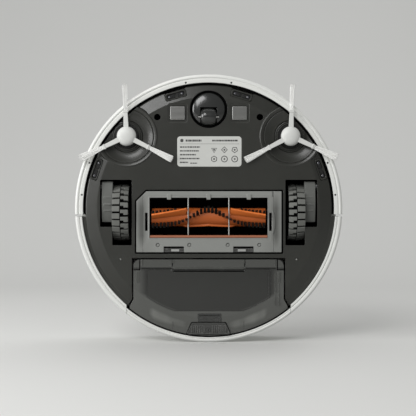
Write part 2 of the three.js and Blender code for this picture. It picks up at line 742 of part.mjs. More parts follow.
const latchOutline = (grow) =>
  outline([
    [-LATCH.frontHalf - grow, LATCH.front - grow],
    [LATCH.frontHalf + grow, LATCH.front - grow],
    [LATCH.rearHalf + grow, LATCH.rear + grow],
    [-LATCH.rearHalf - grow, LATCH.rear + grow],
  ]);

function dustBinShell() {
  const { z, top, wall } = BIN;
  const lowBand = RING_Z + 3.4 + GAP;
  const rim = turned([
    [0, z],
    [167.6, z],
    [168.2, z + 0.6],
    [168.2, lowBand],
    [BODY_R - 3, lowBand],
    [BODY_R - 3, top],
    [0, top],
  ]);
  const body = slab(binOutline(-GAP), z, top).intersect(rim);
  const rimInside = turned([
    [0, z],
    [167.4 - wall, z],
    [167.4 - wall, lowBand + 2],
    [BODY_R - 5, lowBand + 2],
    [BODY_R - 5, top],
    [0, top],
  ]);
  const hollow = slab(binOutline(-GAP - wall), z + wall + 0.2, top - wall).intersect(rimInside);
  const latchRoom = slab(latchOutline(3), z + 1, z + 8).intersect(rimInside);
  const latchBox = slab(latchOutline(2), z + 1, z + 8).intersect(rim);
  const tools = [
    slab(doorOutline(GAP), 0, z + wall + 1),
    slab(latchOutline(GAP), 0, z + 6.2),
    box(-58, -2, BIN.front - 2, BIN.front + 4, 25, 43),
    box(FILTER.x0, FILTER.x1, BIN.front - 2, BIN.front + 4, FILTER.z0, FILTER.z1),
  ];
  return cut(join([cut(body, [hollow]), latchBox.intersect(latchRoom)]), tools);
}

const binDoor = () => slab(doorOutline(0), BIN.z, BIN.z + DOOR.t);

const binLatch = () => slab(latchOutline(-GAP), BIN.z - 0.2, BIN.z + 3.6);

function filterFrame() {
  const { x0, x1, z0, z1 } = FILTER;
  const near = BIN.front + BIN.wall + 0.6 + GAP;
  const body = box(x0 - 3, x1 + 3, near, near + 7, z0 - 3, z1 + 2);
  return body.subtract(box(x0 + 1, x1 - 1, near - 1, near + 8, z0 + 1, z1 - 2));
}

// A folded sheet of filter paper standing in its frame.
function filterPleats() {
  const near = BIN.front + BIN.wall + 0.6 + GAP + 0.6;
  const x0 = FILTER.x0 + 1.4;
  const folds = 16;
  const pitch = (FILTER.x1 - FILTER.x0 - 2.8) / folds;
  const row = (offset) =>
    Array.from({ length: folds + 1 }, (_, i) => [x0 + i * pitch, near + offset + (i % 2) * 4.2]);
  const shape = outline([...row(0), ...row(1.2).reverse()]);
  return slab(shape, FILTER.z0 + 1.4, FILTER.z1 - 2.4);
}

// ---- assembly -----------------------------------------------------------------------------------
const ratingLabel = () =>
  slab(
    roundedRect(
      LABEL.x - LABEL.w / 2,
      LABEL.x + LABEL.w / 2,
      LABEL.y - LABEL.d / 2,
      LABEL.y + LABEL.d / 2,
      LABEL.corner,
    ),
    PLATE_Z - 0.32,
    PLATE_Z - 0.02,
    4,
  );

const robot = new THREE.Group();
robot.add(
  mesh("chassis_base", chassisBase(), charcoal),
  mesh("rating_label", ratingLabel(), pale),
  ...pair("charging_contact", chargingContact, steel),
  ...CLIFF_PLACES.map(([name, x, y]) => mesh(name, cliffSensor(x, y), black)),
  mesh("bumper", bumper(), white),
  ...pair("side_band", sideBand, white),
  mesh("top_shell", topShell(), white),
  mesh("power_button", button(-1), pale),
  mesh("home_button", button(1), pale),
  mesh("lidar_base", lidarBase(), grey),
  mesh("lidar_spinner", lidarSpinner(), black),
  mesh("lidar_cap", lidarCap(), white),
  mesh("battery_pack", batteryPack(), black),
  mesh("main_board", mainBoard(), green),
  mesh("fan_housing", fanHousing(), black),
  mesh("fan_impeller", fanImpeller(), pale),
  mesh("brush_chamber", brushChamber(), black),
  mesh("brush_gearmotor", brushGearmotor(), charcoal),
  ...pair("side_brush_motor", sideBrushMotor, black),
  ...pair("wheel_well", wheelWell, black),
  ...pair("suspension_pin", suspensionPin, steel),
  ...pair("suspension_spring", suspensionSpring, steel),
  ...pair("wheel_arm", wheelArm, charcoal),
  ...pair("wheel_hub", wheelHub, charcoal),
  ...pair("tyre", tyre, rubber),
  mesh("caster_socket", casterSocket(), black),
  mesh("caster_housing", casterHousing(), black),
  mesh("caster_axle", casterAxle(), steel),
  mesh("caster_wheel", casterWheel(), black),
  ...SIDES.map(([word, side]) => mesh(`side_brush_${word}`, sideBrush(word, side), white)),
  mesh("main_brush_core", mainBrushCore(), black),
  mesh("main_brush_sleeve", mainBrushSleeve(), orange),
  mesh("main_brush_bearing", mainBrushBearing(), charcoal),
  mesh("brush_cover", brushCover(), grey),
  ...pair("guard_wire", guardWire, pale),
  mesh("scraper_strip", scraperStrip(), orange),
  ...pair("cover_latch", coverLatch, grey),
  mesh("dust_bin_shell", dustBinShell(), smoky),
  mesh("bin_facade", binFacade(), white),
  mesh("bin_door", binDoor(), smoky),
  mesh("bin_latch", binLatch(), smoky),
  mesh("filter_frame", filterFrame(), charcoal),
  mesh("filter_pleats", filterPleats(), pale),
);

export default robot;
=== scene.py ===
"""Looks for a round robot vacuum standing on its rear edge, its underside towards the camera.

Lengths are millimetres in the model's own frame (+Z up, front at -Y), and the mesh makers turn them into metres.
Names that end in _M, the places that material nodes compare, and the stage, lights and camera are in metres.
"""

import random
from math import acos, asin, atan2, cos, exp, hypot, pi, radians, sin, tan
from math import degrees as in_degrees
from types import SimpleNamespace

import bmesh
import bpy
from mathutils import Matrix, Vector


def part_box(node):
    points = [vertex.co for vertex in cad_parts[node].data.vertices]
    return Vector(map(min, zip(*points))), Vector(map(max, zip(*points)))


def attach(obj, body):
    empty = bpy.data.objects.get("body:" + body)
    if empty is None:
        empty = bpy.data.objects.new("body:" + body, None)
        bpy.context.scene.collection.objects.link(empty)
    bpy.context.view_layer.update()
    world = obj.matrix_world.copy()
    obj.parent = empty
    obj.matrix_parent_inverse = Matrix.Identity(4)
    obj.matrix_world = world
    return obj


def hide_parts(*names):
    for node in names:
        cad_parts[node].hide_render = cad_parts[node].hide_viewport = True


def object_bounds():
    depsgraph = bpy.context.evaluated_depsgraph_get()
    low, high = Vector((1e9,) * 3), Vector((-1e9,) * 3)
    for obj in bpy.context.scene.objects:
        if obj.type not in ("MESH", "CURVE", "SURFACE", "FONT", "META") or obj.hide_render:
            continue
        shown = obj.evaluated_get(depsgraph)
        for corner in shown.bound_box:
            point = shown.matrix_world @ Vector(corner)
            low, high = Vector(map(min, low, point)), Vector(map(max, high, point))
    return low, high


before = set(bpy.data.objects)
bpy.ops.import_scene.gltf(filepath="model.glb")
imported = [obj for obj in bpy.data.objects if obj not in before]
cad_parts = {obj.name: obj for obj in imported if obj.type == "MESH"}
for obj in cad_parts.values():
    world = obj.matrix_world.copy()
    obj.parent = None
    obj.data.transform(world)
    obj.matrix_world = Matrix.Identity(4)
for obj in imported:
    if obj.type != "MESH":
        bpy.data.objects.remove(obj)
CAD_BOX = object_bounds()
MM = 0.001
SIDES = (("left", -1), ("right", 1))
DICE = random.Random(7)


class Place(SimpleNamespace):
    """The named dimensions of one feature. at() is its centre, on the right for 1 and on the left for -1."""

    def at(self, side=1):
        return side * self.x, self.y


def corners(node):
    """A CAD node's lowest and highest corner in millimetres."""
    return [[c / MM for c in corner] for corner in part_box(node)]


# ---- driving dimensions ----
BODY_R = corners("bumper")[1][0]
PLATE_Z = 10
PLATE_TOP = 12.5
RIM_R = 161
REAR_RIM_R = 165.2
RING_Z = 13.5
RING_TOP = 74.4
SHELL_TOP = 82
BUMPER_END = 8
BAND_START = 10.85
FACADE_HALF = corners("bin_facade")[1][0]
GAP = 0.35
THROUGH = 40

WHEEL = Place(x=115, y=5.5, r=37.5, half=10.5, hub_r=27, blocks=24)
ARM = Place(inner=125.4, outer=139.2, pivot_y=-28, pivot_z=18)
BAY = Place(inner=100, mid=125.5, outer=141.5, front=-37, rear=48.4, gear_rear=24.5)
CASTER = Place(x=0, y=-129, cup_r=24.3, bore=22.8, dome_r=21.9, wheel_y=-119, wheel_r=11.5, half=9.75)
SWEEPER = Place(x=106.8, y=-93.7, hub_r=12.7, reach=70, nose_r=15.55, hairs=54)
SWEEPER_ANGLES = {"left": (-92, -333, -206), "right": (-88, -208, -335)}
CONTACT = Place(x=40.4, y=-123.8, w=19.6, d=18)
LABEL = Place(x=1, y=-73.8, w=83.7, d=39.4)
SCREW = Place(x=66.8, y=-118.6, r=4.3)
PIN = Place(x=114.6, y=66.7, r=1.3)
CLIFFS = {
    "front_left": (-43, -147.4), "front_right": (43, -147.4),
    "side_left": (-146.2, -50.7), "side_right": (146.2, -50.7),
}
COVER = Place(left=-94, right=95, front=-22, rear=57.5, z=8.2, top=11.8, corner=13)
MOUTH = Place(half=76.9, front=-13.7, rear=38.8)
LATCH_X = 45.3
GUARD_X = 26.5
SCRAPER_FRONT = 35.3
BRUSH = Place(y=12, z=24, drum=12.6, half=75, twist=53, tufts=40)
BIN = Place(front=65.2, half=99.6, corner_y=118.6, rim_x=104.6, rim_y=126.2, z=10.2, top=62, wall=1.8,
            flat_r=141, inset=1.7)
DOOR = Place(half=80, front=80, corner_y=115.6, rear=133.5)
RELEASE = Place(front=149, front_half=22, rear=164.8, rear_half=29.4)
LIDAR = Place(x=0, y=22)
BUTTON = Place(x=18, y=-128, r=8)


# ---- mesh makers ----
def linked(data, name="part"):
    made = bpy.data.objects.new(name, data)
    bpy.context.scene.collection.objects.link(made)
    return made


def mesh_object(verts, faces):
    mesh = bpy.data.meshes.new("part")
    mesh.from_pydata([(x * MM, y * MM, z * MM) for x, y, z in verts], [], faces)
    work = bmesh.new()
    work.from_mesh(mesh)
    bmesh.ops.remove_doubles(work, verts=work.verts, dist=1e-7)
    bmesh.ops.recalc_face_normals(work, faces=work.faces)
    work.to_mesh(mesh)
    work.free()
    return linked(mesh)


def loops_to_faces(rows, count, closed_rows, capped=False):
    """Quads between rows of count points each, every row a closed loop; capped closes the first and last row."""
    faces = []
    for i in range(rows if closed_rows else rows - 1):
        a, b = i * count, ((i + 1) % rows) * count
        faces += [(a + j, a + (j + 1) % count, b + (j + 1) % count, b + j) for j in range(count)]
    if capped:
        faces += [tuple(range(count)), tuple((rows - 1) * count + j for j in range(count))]
    return faces


def lofted(rows):
    """A closed body through rows of points."""
    faces = loops_to_faces(len(rows), len(rows[0]), False, True)
    return mesh_object([point for row in rows for point in row], faces)


def turned(profile, centre=(0, 0), sides=96):
    """A closed profile of (radius, height) pairs turned about the vertical line through centre."""
    cx, cy = centre
    verts = []
    for i in range(sides):
        turn = 2 * pi * i / sides
        verts += [(cx + r * sin(turn), cy + r * cos(turn), z) for r, z in profile]
    return mesh_object(verts, loops_to_faces(sides, len(profile), True))


def turned_x(profile, centre, sides=64):
    """A closed profile of (radius, x) pairs turned about the line along X through centre (y, z)."""
    cy, cz = centre
    verts = []
    for i in range(sides):
        turn = 2 * pi * i / sides
        verts += [(x, cy + r * cos(turn), cz + r * sin(turn)) for r, x in profile]
    return mesh_object(verts, loops_to_faces(sides, len(profile), True))


def rod(r, x0, x1, centre, sides=32):
    return turned_x([(0, x0), (r, x0), (r, x1), (0, x1)], centre, sides)


def disc(place, r, z0, z1, sides=48):
    return turned([(0, z0), (r, z0), (r, z1), (0, z1)], place, sides)


def arc(profile, first, last, sides=160):
    """Part of a ring with flat ends. first and last give the end angles for a radius, from +Y towards +X."""
    rows = []
    for i in range(sides + 1):
        turns = [first(r) + (last(r) - first(r)) * i / sides for r, _ in profile]
        rows.append([(r * sin(turn), r * cos(turn), z) for turn, (r, z) in zip(turns, profile)])
    return lofted(rows)


def at_x(x):
    """The angle at which a circle of any radius reaches x."""
    return lambda r: asin(x / r)


def at_y(y):
    return lambda r: acos(y / r)


def rear_arc(profile, angle, sides):
    """An arc across the rear, as far to each side as angle says for a radius."""
    return arc(profile, lambda r: -angle(r), angle, sides)


def front_arc(profile, sides):
    """An arc round the front, between the bumper's two ends."""
    end = at_y(BUMPER_END)
    return arc(profile, end, lambda r: 2 * pi - end(r), sides)


def prism(points, z0, z1):
    count = len(points)
    verts = [(x, y, z) for z in (z0, z1) for x, y in points]
    faces = [tuple(range(count)), tuple(range(count, 2 * count))]
    faces += [(j, (j + 1) % count, count + (j + 1) % count, count + j) for j in range(count)]
    return mesh_object(verts, faces)


def side_prism(points, x0, x1):
    """A side profile of (y, z) pairs made into a plate between x0 and x1."""
    made = prism(points, x0, x1)
    made.data.transform(Matrix(((0, 0, 1, 0), (1, 0, 0, 0), (0, 1, 0, 0), (0, 0, 0, 1))))
    return made


def symmetric(points):
    """The points followed by their mirror images in the first axis, in reverse."""
    return points + [(a, -b) for a, b in reversed(points)]


def rounded(points, radius, steps=6):
    """The outline with each corner replaced by an arc that is tangent to both edges."""
    made = []
    radii = radius if isinstance(radius, (list, tuple)) else [radius] * len(points)
    for i, corner in enumerate(points):
        here = Vector(corner)
        before = Vector(points[i - 1]) - here
        after = Vector(points[(i + 1) % len(points)]) - here
        half = before.angle(after) / 2
        size = min(radii[i], 0.49 * min(before.length, after.length) * tan(half))
        if size < 1e-3:
            made.append(tuple(here))
            continue
        reach = size / tan(half)
        start, end = here + before.normalized() * reach, here + after.normalized() * reach
        centre = here + (before.normalized() + after.normalized()).normalized() * (size / sin(half))
        a, b = start - centre, end - centre
        sweep = atan2(a.x * b.y - a.y * b.x, a.dot(b))
        made += [tuple(centre + Matrix.Rotation(sweep * k / steps, 2) @ a) for k in range(steps + 1)]
    return made


def block(x0, x1, y0, y1, z0, z1, corner=0, edge=0, segments=3):
    """An upright box; corner rounds its outline, and edge rounds all that is still sharp."""
    points = [(x0, y0), (x1, y0), (x1, y1), (x0, y1)]
    made = prism(rounded(points, corner) if corner else points, z0, z1)
    return rounded_edges(made, edge, segments) if edge else made


def slab(place, w, d, z0, z1, corner=0, edge=0, segments=3):
    """A block centred on place."""
    x, y = place
    return block(x - w / 2, x + w / 2, y - d / 2, y + d / 2, z0, z1, corner, edge, segments)


def moved(obj, matrix):
    """Turns and shifts a mesh, the shift in millimetres."""
    shift = matrix.copy()
    shift.translation = matrix.translation * MM
    obj.data.transform(shift)
    if matrix.determinant() < 0:
        obj.data.flip_normals()
    return obj


def spun(obj, degrees, place=(0, 0)):
    """Turns a mesh made round the origin about Z and puts it at a place."""
    return moved(obj, Matrix.Translation((*place, 0)) @ Matrix.Rotation(radians(degrees), 4, "Z"))


def sided(obj, side):
    """The mesh, mirrored when it is for the left."""
    return moved(obj, Matrix.Scale(-1, 4, (1, 0, 0))) if side < 0 else obj


def dropped(obj):
    data = obj.data
    bpy.data.objects.remove(obj)
    bpy.data.meshes.remove(data)


def settled(obj, helpers=()):
    """Makes the modifiers' result the object's own mesh and drops the helper objects."""
    graph = bpy.context.evaluated_depsgraph_get()
    mesh = bpy.data.meshes.new_from_object(obj.evaluated_get(graph))
    old = obj.data
    obj.modifiers.clear()
    obj.data = mesh
    bpy.data.meshes.remove(old)
    for helper in helpers:
        dropped(helper)
    return obj


def combined(obj, tools, operation):
    for tool in tools:
        step = obj.modifiers.new("shape", "BOOLEAN")
        step.operation = operation
        step.solver = "MANIFOLD"
        step.object = tool
    return settled(obj, tools)


def cut(obj, *tools):
    return combined(obj, tools, "DIFFERENCE")


def common(obj, *tools):
    return combined(obj, tools, "INTERSECT")


def gathered(parts):
    """Several meshes as one object, each keeping its own faces."""
    work = bmesh.new()
    for part in parts:
        work.from_mesh(part.data)
        dropped(part)
    mesh = bpy.data.meshes.new("part")
    work.to_mesh(mesh)
    work.free()
    return linked(mesh)


def bevelled(obj, width, segments, angle):
    step = obj.modifiers.new("small rounding", "BEVEL")
    step.width = width * MM
    step.segments = segments
    step.limit_method = "ANGLE"
    step.angle_limit = radians(angle)


def rounded_edges(obj, width, segments=3, angle=35):
    """Rounds the sharp edges of a simple mesh for good."""
    bevelled(obj, width, segments, angle)
    return settled(obj)


def piece(name, obj, body, material, replaced=(), smooth=32):
    """Gives a finished mesh its name, material, smooth shading and body, and hides the CAD nodes that it stands for.
    """
    obj.name = name
    obj.data.materials.clear()
    obj.data.materials.append(material)
    obj.data.shade_smooth()
    obj.data.set_sharp_from_angle(angle=radians(smooth))
    flat = obj.modifiers.new("flat faces stay flat", "WEIGHTED_NORMAL")
    flat.keep_sharp = True
    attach(obj, body)
    if replaced:
        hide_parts(replaced)


# ---- materials ----
METAL_GRAIN = (1, 14, 1)


class Nodes:
    """Short calls that add nodes to one material."""

    def __init__(self, material):
        material.use_nodes = True
        self.tree = material.node_tree
        self.shader = self.tree.nodes["Principled BSDF"]

    def add(self, kind, inputs=None, out=0, **settings):
        made = self.tree.nodes.new("ShaderNode" + kind)
        for key, value in settings.items():
            setattr(made, key, value)
        for key, value in (inputs or {}).items():
            if isinstance(value, bpy.types.NodeSocket):
                self.tree.links.new(value, made.inputs[key])
            else:
                made.inputs[key].default_value = value
        return made.outputs[out]

    def place(self):
        return self.add("TexCoord", out="Object")

    def stretched(self, place, scale):
        return self.add("Mapping", {"Vector": place, "Scale": scale})

    def noise(self, place, scale, detail=3, rough=0.55):
        return self.add("TexNoise", {"Vector": place, "Scale": scale, "Detail": detail, "Roughness": rough}, "Fac")

    def length(self, vector):
        return self.add("VectorMath", {0: vector}, "Value", operation="LENGTH")

    def maths(self, operation, first, *others):
        """One result from all the values, taken in turn."""
        for other in others:
            first = self.add("Math", {0: first, 1: other}, operation=operation)
        return first

    def ranged(self, value, low, high, to_low=0, to_high=1):
        inputs = {"Value": value, "From Min": low, "From Max": high, "To Min": to_low, "To Max": to_high}
        return self.add("MapRange", inputs)

    def mixed(self, share, a, b):
        a, b = (c if isinstance(c, bpy.types.NodeSocket) else [*c, 1] for c in (a, b))
        return self.add("Mix", {0: share, 6: a, 7: b}, 2, data_type="RGBA")

    def feed(self, socket, value):
        """Links a node's output to the shader, or sets the shader's own value."""
        if isinstance(value, bpy.types.NodeSocket):
            self.tree.links.new(value, self.shader.inputs[socket])
        else:
            self.shader.inputs[socket].default_value = value

    def colour(self):
        return self.shader.inputs["Base Color"].links[0].from_socket

    def thinned(self, share, inputs=None):
        """Mixes see-through into the shader."""
        clear = self.add("BsdfTransparent", inputs)
        both = self.add("MixShader", {0: share, 1: self.shader.outputs[0], 2: clear})
        self.tree.links.new(both, self.tree.nodes["Material Output"].inputs["Surface"])


def surface(name, colour, roughness, metallic=0, specular=0.5, coat=0, grain=1400, depth=0.05,
            mottle=0.10, edge_wear_and_highlight=0.25, worn_and_highlit=None, spread=0.10, stretch=(1, 1, 1), round_edge=0.5,
            see_through=0, painted_glow=0):
    """Moulded plastic, rubber or metal: fine grain, uneven gloss, and edges lightened towards the edge colour or grey,
    which is scuffing and on some materials also painted highlight; a part can also give off light of its own, painted
    light.
    """
    if isinstance(worn_and_highlit, float):
        worn_and_highlit = (worn_and_highlit, worn_and_highlit, worn_and_highlit - 0.01)
    made = bpy.data.materials.new(name)
    nodes = Nodes(made)
    place = nodes.stretched(nodes.place(), stretch)
    cloud = nodes.noise(place, 17, 4)
    smear = nodes.noise(place, 95, 5, 0.6)
    fine = nodes.noise(place, grain, 2)
    tone = nodes.maths("ADD", nodes.maths("MULTIPLY", cloud, 0.55), nodes.maths("MULTIPLY", smear, 0.45))
    darker = [c * (1 - mottle) for c in colour]
    lighter = [min(1, c * (1 + mottle)) for c in colour]
    base = nodes.mixed(nodes.ranged(tone, 0.2, 0.8), darker, lighter)
    soft = nodes.add("Bevel", {"Radius": round_edge * MM}, samples=4)
    true_normal = nodes.add("NewGeometry", out="Normal")
    bend = nodes.add("VectorMath", {0: soft, 1: true_normal}, "Value", operation="DOT_PRODUCT")
    # Lighter edges: scuffing, and painted highlight where a material lightens its edges strongly.
    edge = nodes.ranged(bend, 0.995, 0.9, 0, edge_wear_and_highlight)
    rubbed_and_highlit = nodes.maths("MULTIPLY", edge, nodes.ranged(smear, 0.35, 0.6, 0.3))
    nodes.feed("Base Color", nodes.mixed(rubbed_and_highlit, base, worn_and_highlit or [min(1, 0.10 + c * 1.9) for c in colour]))
    nodes.feed("Roughness", nodes.ranged(tone, 0.2, 0.8, max(0.03, roughness - spread), min(1, roughness + spread)))
    height = nodes.maths("ADD", fine, nodes.maths("MULTIPLY", smear, 0.6))
    bump = {"Strength": 0.5, "Distance": depth * MM, "Height": height, "Normal": soft}
    nodes.feed("Normal", nodes.add("Bump", bump))
    nodes.feed("Metallic", metallic)
    nodes.feed("Specular IOR Level", specular)
    nodes.feed("Coat Weight", coat)
    nodes.feed("Coat Roughness", 0.12)
    # Painted light: the part gives off light of its own.
    if painted_glow:
        nodes.feed("Emission Color", [*colour, 1])
        nodes.feed("Emission Strength", painted_glow)
    if see_through:
        nodes.thinned(see_through, {"Color": (0.55, 0.56, 0.54, 1)})
    return made


CHARCOAL = surface("charcoal plastic", (0.0215, 0.022, 0.018), 0.34, coat=0.10, spread=0.06,
                   edge_wear_and_highlight=0.5, worn_and_highlit=0.16)
WHITE = surface("white gloss plastic", (0.815, 0.82, 0.79), 0.33, coat=0.15, mottle=0.015,
                spread=0.04, edge_wear_and_highlight=0.12)
BLACK = surface("black plastic", (0.008, 0.008, 0.008), 0.55, specular=0.3, edge_wear_and_highlight=0.2)
GLOSSY = surface("black gloss plastic", (0.016, 0.017, 0.016), 0.20, specular=0.6, coat=0.3,
                 spread=0.06, edge_wear_and_highlight=0.3)
# Near-black, darker than any plastic: painted shade in gaps, wells, holes and the tyre's grooves, and the dark of the
# joints at the bin's seams.
VOID = surface("unlit black plastic", (0.002, 0.002, 0.002), 0.8, specular=0.05, edge_wear_and_highlight=0)
PALE = surface("pale plastic", (0.60, 0.60, 0.57), 0.5, mottle=0.04, edge_wear_and_highlight=0.1)
GREY = surface("grey cover plastic", (0.225, 0.23, 0.215), 0.40, specular=0.45, mottle=0.05,
               edge_wear_and_highlight=0.5, worn_and_highlit=(0.50, 0.51, 0.49))
LATCH_GREY = surface("latch plastic", (0.045, 0.045, 0.042), 0.45, edge_wear_and_highlight=0.6, worn_and_highlit=0.25)
TAB_GREY = surface("latch tab plastic", (0.36, 0.365, 0.35), 0.45, mottle=0.05, edge_wear_and_highlight=0.5)
RUBBER = surface("tyre rubber", (0.165, 0.168, 0.155), 0.66, specular=0.4, mottle=0.28, edge_wear_and_highlight=0.6,
                 worn_and_highlit=0.22, depth=0.12, grain=900, round_edge=0.6)
SCRAPER = surface("scraper rubber", (0.36, 0.13, 0.065), 0.5, mottle=0.15, stretch=(0.2, 1, 1),
                  edge_wear_and_highlight=0.4, worn_and_highlit=(0.6, 0.28, 0.16))
GEARBOX = surface("gearbox plastic", (0.125, 0.128, 0.119), 0.52, specular=0.3, edge_wear_and_highlight=0.3,
                  spread=0.12, depth=0.10, round_edge=1)
STEEL = surface("brushed steel", (0.55, 0.55, 0.53), 0.34, metallic=1, stretch=METAL_GRAIN, mottle=0.12,
                edge_wear_and_highlight=0.7, worn_and_highlit=(0.95, 0.95, 0.92), round_edge=0.9)
# The contact plates' edges are lightened almost to white, partly scuffing and partly painted highlight.
CONTACT_STEEL = surface("contact plate steel", (0.215, 0.215, 0.208), 0.42, metallic=1,
                        stretch=METAL_GRAIN, mottle=0.15, edge_wear_and_highlight=1, worn_and_highlit=(0.8, 0.8, 0.78), round_edge=1.2)
DARK_STEEL = surface("dark screw steel", (0.12, 0.12, 0.12), 0.38, metallic=1, mottle=0.2)
PALE_METAL = surface("guard wire", (0.42, 0.42, 0.40), 0.3, metallic=0.6, mottle=0.15)
# The bin's smoky plastics have strongly lightened edges, scuffing and painted highlight.
SMOKY_DARK = surface("smoky door plastic", (0.032, 0.033, 0.031), 0.15, specular=0.55, coat=0.25,
                     mottle=0.12, edge_wear_and_highlight=0.8, worn_and_highlit=0.22, spread=0.06, depth=0.02, see_through=0.15)
TRIM_SMOKY = surface("smoky trim plastic", (0.058, 0.060, 0.054), 0.25, coat=0.15, mottle=0.15,
                     edge_wear_and_highlight=0.8, worn_and_highlit=0.25, spread=0.06, depth=0.02)
RELEASE_SMOKY = surface("smoky release plastic", (0.045, 0.046, 0.043), 0.22, coat=0.2,
                        mottle=0.15, edge_wear_and_highlight=1, worn_and_highlit=0.20, spread=0.06, depth=0.02)
SWEEPER_WHITE = surface("side brush rubber", (0.71, 0.715, 0.69), 0.42, mottle=0.05, edge_wear_and_highlight=0.15)
# Painted light: the bristles give off a little light of their own, so that they stay pale where they shade one
# another.
BRISTLE = surface("pale bristle with painted light", (0.90, 0.90, 0.88), 0.5, mottle=0.05, edge_wear_and_highlight=0, painted_glow=0.10)
BLACK_BRISTLE = surface("black bristle", (0.010, 0.010, 0.009), 0.45, specular=0.3, mottle=0.4,
                        edge_wear_and_highlight=0)
LABEL_FILM = surface("label film", (0.63, 0.635, 0.605), 0.36, mottle=0.05, edge_wear_and_highlight=0.2, depth=0.015)
INK = surface("label ink", (0.055, 0.055, 0.054), 0.5, mottle=0.3, edge_wear_and_highlight=0)
LENS = surface("sensor lens", (0.03, 0.03, 0.04), 0.08, specular=0.8, coat=1, edge_wear_and_highlight=0)
BOARD = surface("circuit board", (0.012, 0.10, 0.035), 0.42, mottle=0.3, grain=700)
PAPER = surface("filter paper", (0.55, 0.54, 0.50), 0.9, grain=2500, depth=0.1, edge_wear_and_highlight=0.1)


def bin_plastic():
    """Smoky clear plastic that is darker over the door's flat part and mottled by what lies inside the bin; its
    strongly lightened edges are scuffing and painted highlight.
    """
    made = surface("smoky clear bin", (0.030, 0.031, 0.028), 0.17, coat=0.2, mottle=0.12, edge_wear_and_highlight=1,
                   worn_and_highlit=0.30, spread=0.06, depth=0.02)
    nodes = Nodes(made)
    place = nodes.place()
    apart = nodes.add("SeparateXYZ", {0: place}).node
    across, y = nodes.add("Math", {0: apart.outputs["X"]}, operation="ABSOLUTE"), apart.outputs["Y"]
    radius = nodes.length(nodes.stretched(place, (1, 1, 0)))
    crescent = nodes.maths("MAXIMUM", nodes.ranged(radius, 0.1385, 0.143), nodes.ranged(y, 0.1325, 0.1355))
    patch = nodes.maths("MULTIPLY", nodes.ranged(radius, 0.144, 0.152), nodes.ranged(radius, 0.166, 0.157),
                        nodes.ranged(across, 0.016, 0.034), nodes.ranged(across, 0.084, 0.072),
                        nodes.ranged(nodes.noise(place, 14), 0.38, 0.58, 0.55))
    front = nodes.ranged(y, 0.0785, 0.0765, 0, 0.30)
    flanks = nodes.maths("MULTIPLY", nodes.ranged(across, 0.082, 0.092, 0, 0.35), nodes.ranged(y, 0.079, 0.082))
    tone = nodes.maths("MAXIMUM", nodes.maths("MULTIPLY", crescent, 0.40), front, flanks, patch)
    inside = nodes.mixed(tone, [0.014, 0.0145, 0.0125], [0.235, 0.24, 0.222])
    nodes.feed("Base Color", nodes.mixed(0.78, nodes.colour(), inside))
    return made


def cover_grey_with_painted_shade():
    """The cover's grey plastic with painted shade: darker where its end frames curve in and at its rear corners."""
    made = surface("grey brush cover with painted shade", (0.265, 0.27, 0.255), 0.42, specular=0.45, mottle=0.05,
                   edge_wear_and_highlight=0.6, worn_and_highlit=(0.52, 0.53, 0.51))
    nodes = Nodes(made)
    apart = nodes.add("SeparateXYZ", {0: nodes.place()}).node
    across, y = nodes.add("Math", {0: apart.outputs["X"]}, operation="ABSOLUTE"), apart.outputs["Y"]
    middle = nodes.add("Math", {0: nodes.maths("ADD", y, -0.018)}, operation="ABSOLUTE")
    # Painted shade: a band down each end frame, strongest halfway along and fading towards the outer edge, and the
    # rear corners, both mixed towards near-black.
    shade = nodes.maths("MULTIPLY", nodes.ranged(across, 0.079, 0.087), nodes.ranged(middle, 0.037, 0.018, 0.15, 0.85),
                        nodes.ranged(across, 0.0885, 0.0935, 1, 0.25))
    corner = nodes.maths("MULTIPLY", nodes.ranged(across, 0.066, 0.084), nodes.ranged(y, 0.036, 0.046, 0, 0.22))
    dark = nodes.mixed(nodes.maths("MAXIMUM", shade, corner), nodes.colour(), [0.075, 0.077, 0.070])
    nodes.feed("Base Color", dark)
    return made


def brush_rubber():
    """Orange rubber with painted shade: darker towards the brush's axis, where the drum lies deep between the blades.
    """
    made = surface("orange blade rubber with painted shade", (0.86, 0.200, 0.036), 0.48, specular=0.35, mottle=0.22,
                   edge_wear_and_highlight=0.6, worn_and_highlit=(0.95, 0.34, 0.10), stretch=(0.18, 1, 1), grain=900, round_edge=0.7)
    nodes = Nodes(made)
    axis = {"Vector": nodes.place(), "Location": (0, -BRUSH.y * MM, -BRUSH.z * MM)}
    radius = nodes.length(nodes.stretched(nodes.add("Mapping", axis), (0, 1, 1)))
    # Painted shade on the drum, which lies deep between the blades.
    painted_axis_shade = nodes.ranged(radius, 0.0122, 0.0165, 0.62, 0)
    nodes.feed("Base Color", nodes.mixed(painted_axis_shade, nodes.colour(), [0.22, 0.044, 0.010]))
    return made


BIN_CLEAR = bin_plastic()
COVER_GREY_WITH_PAINTED_SHADE = cover_grey_with_painted_shade()
ORANGE_WITH_AXIS_SHADE = brush_rubber()


# ---- chassis ----
def bay_outline():
    points = [(BAY.inner, BAY.front), (BAY.outer, BAY.front), (BAY.outer, BAY.gear_rear), (BAY.mid, BAY.gear_rear),
              (BAY.mid, BAY.rear), (BAY.inner, BAY.rear)]
    return rounded(points, 1.4)


def bin_outline(grow):
    half, rim, front, rear = BIN.half + grow, BIN.rim_x + grow, BIN.front - grow, BODY_R + 10
    return [(-half, front), (half, front), (half, BIN.corner_y), (rim, BIN.rim_y - grow), (rim, rear),
            (-rim, rear), (-rim, BIN.rim_y - grow), (-half, BIN.corner_y)]


def cover_outline(grow, radius):
    left, right, front, rear = COVER.left - grow, COVER.right + grow, COVER.front - grow, COVER.rear + grow
    points = [(COVER.left + COVER.corner - grow * 0.4, front), (right, front), (right, rear), (left, rear),
              (left, COVER.front + COVER.corner - grow * 0.4)]
    return rounded(points, radius)


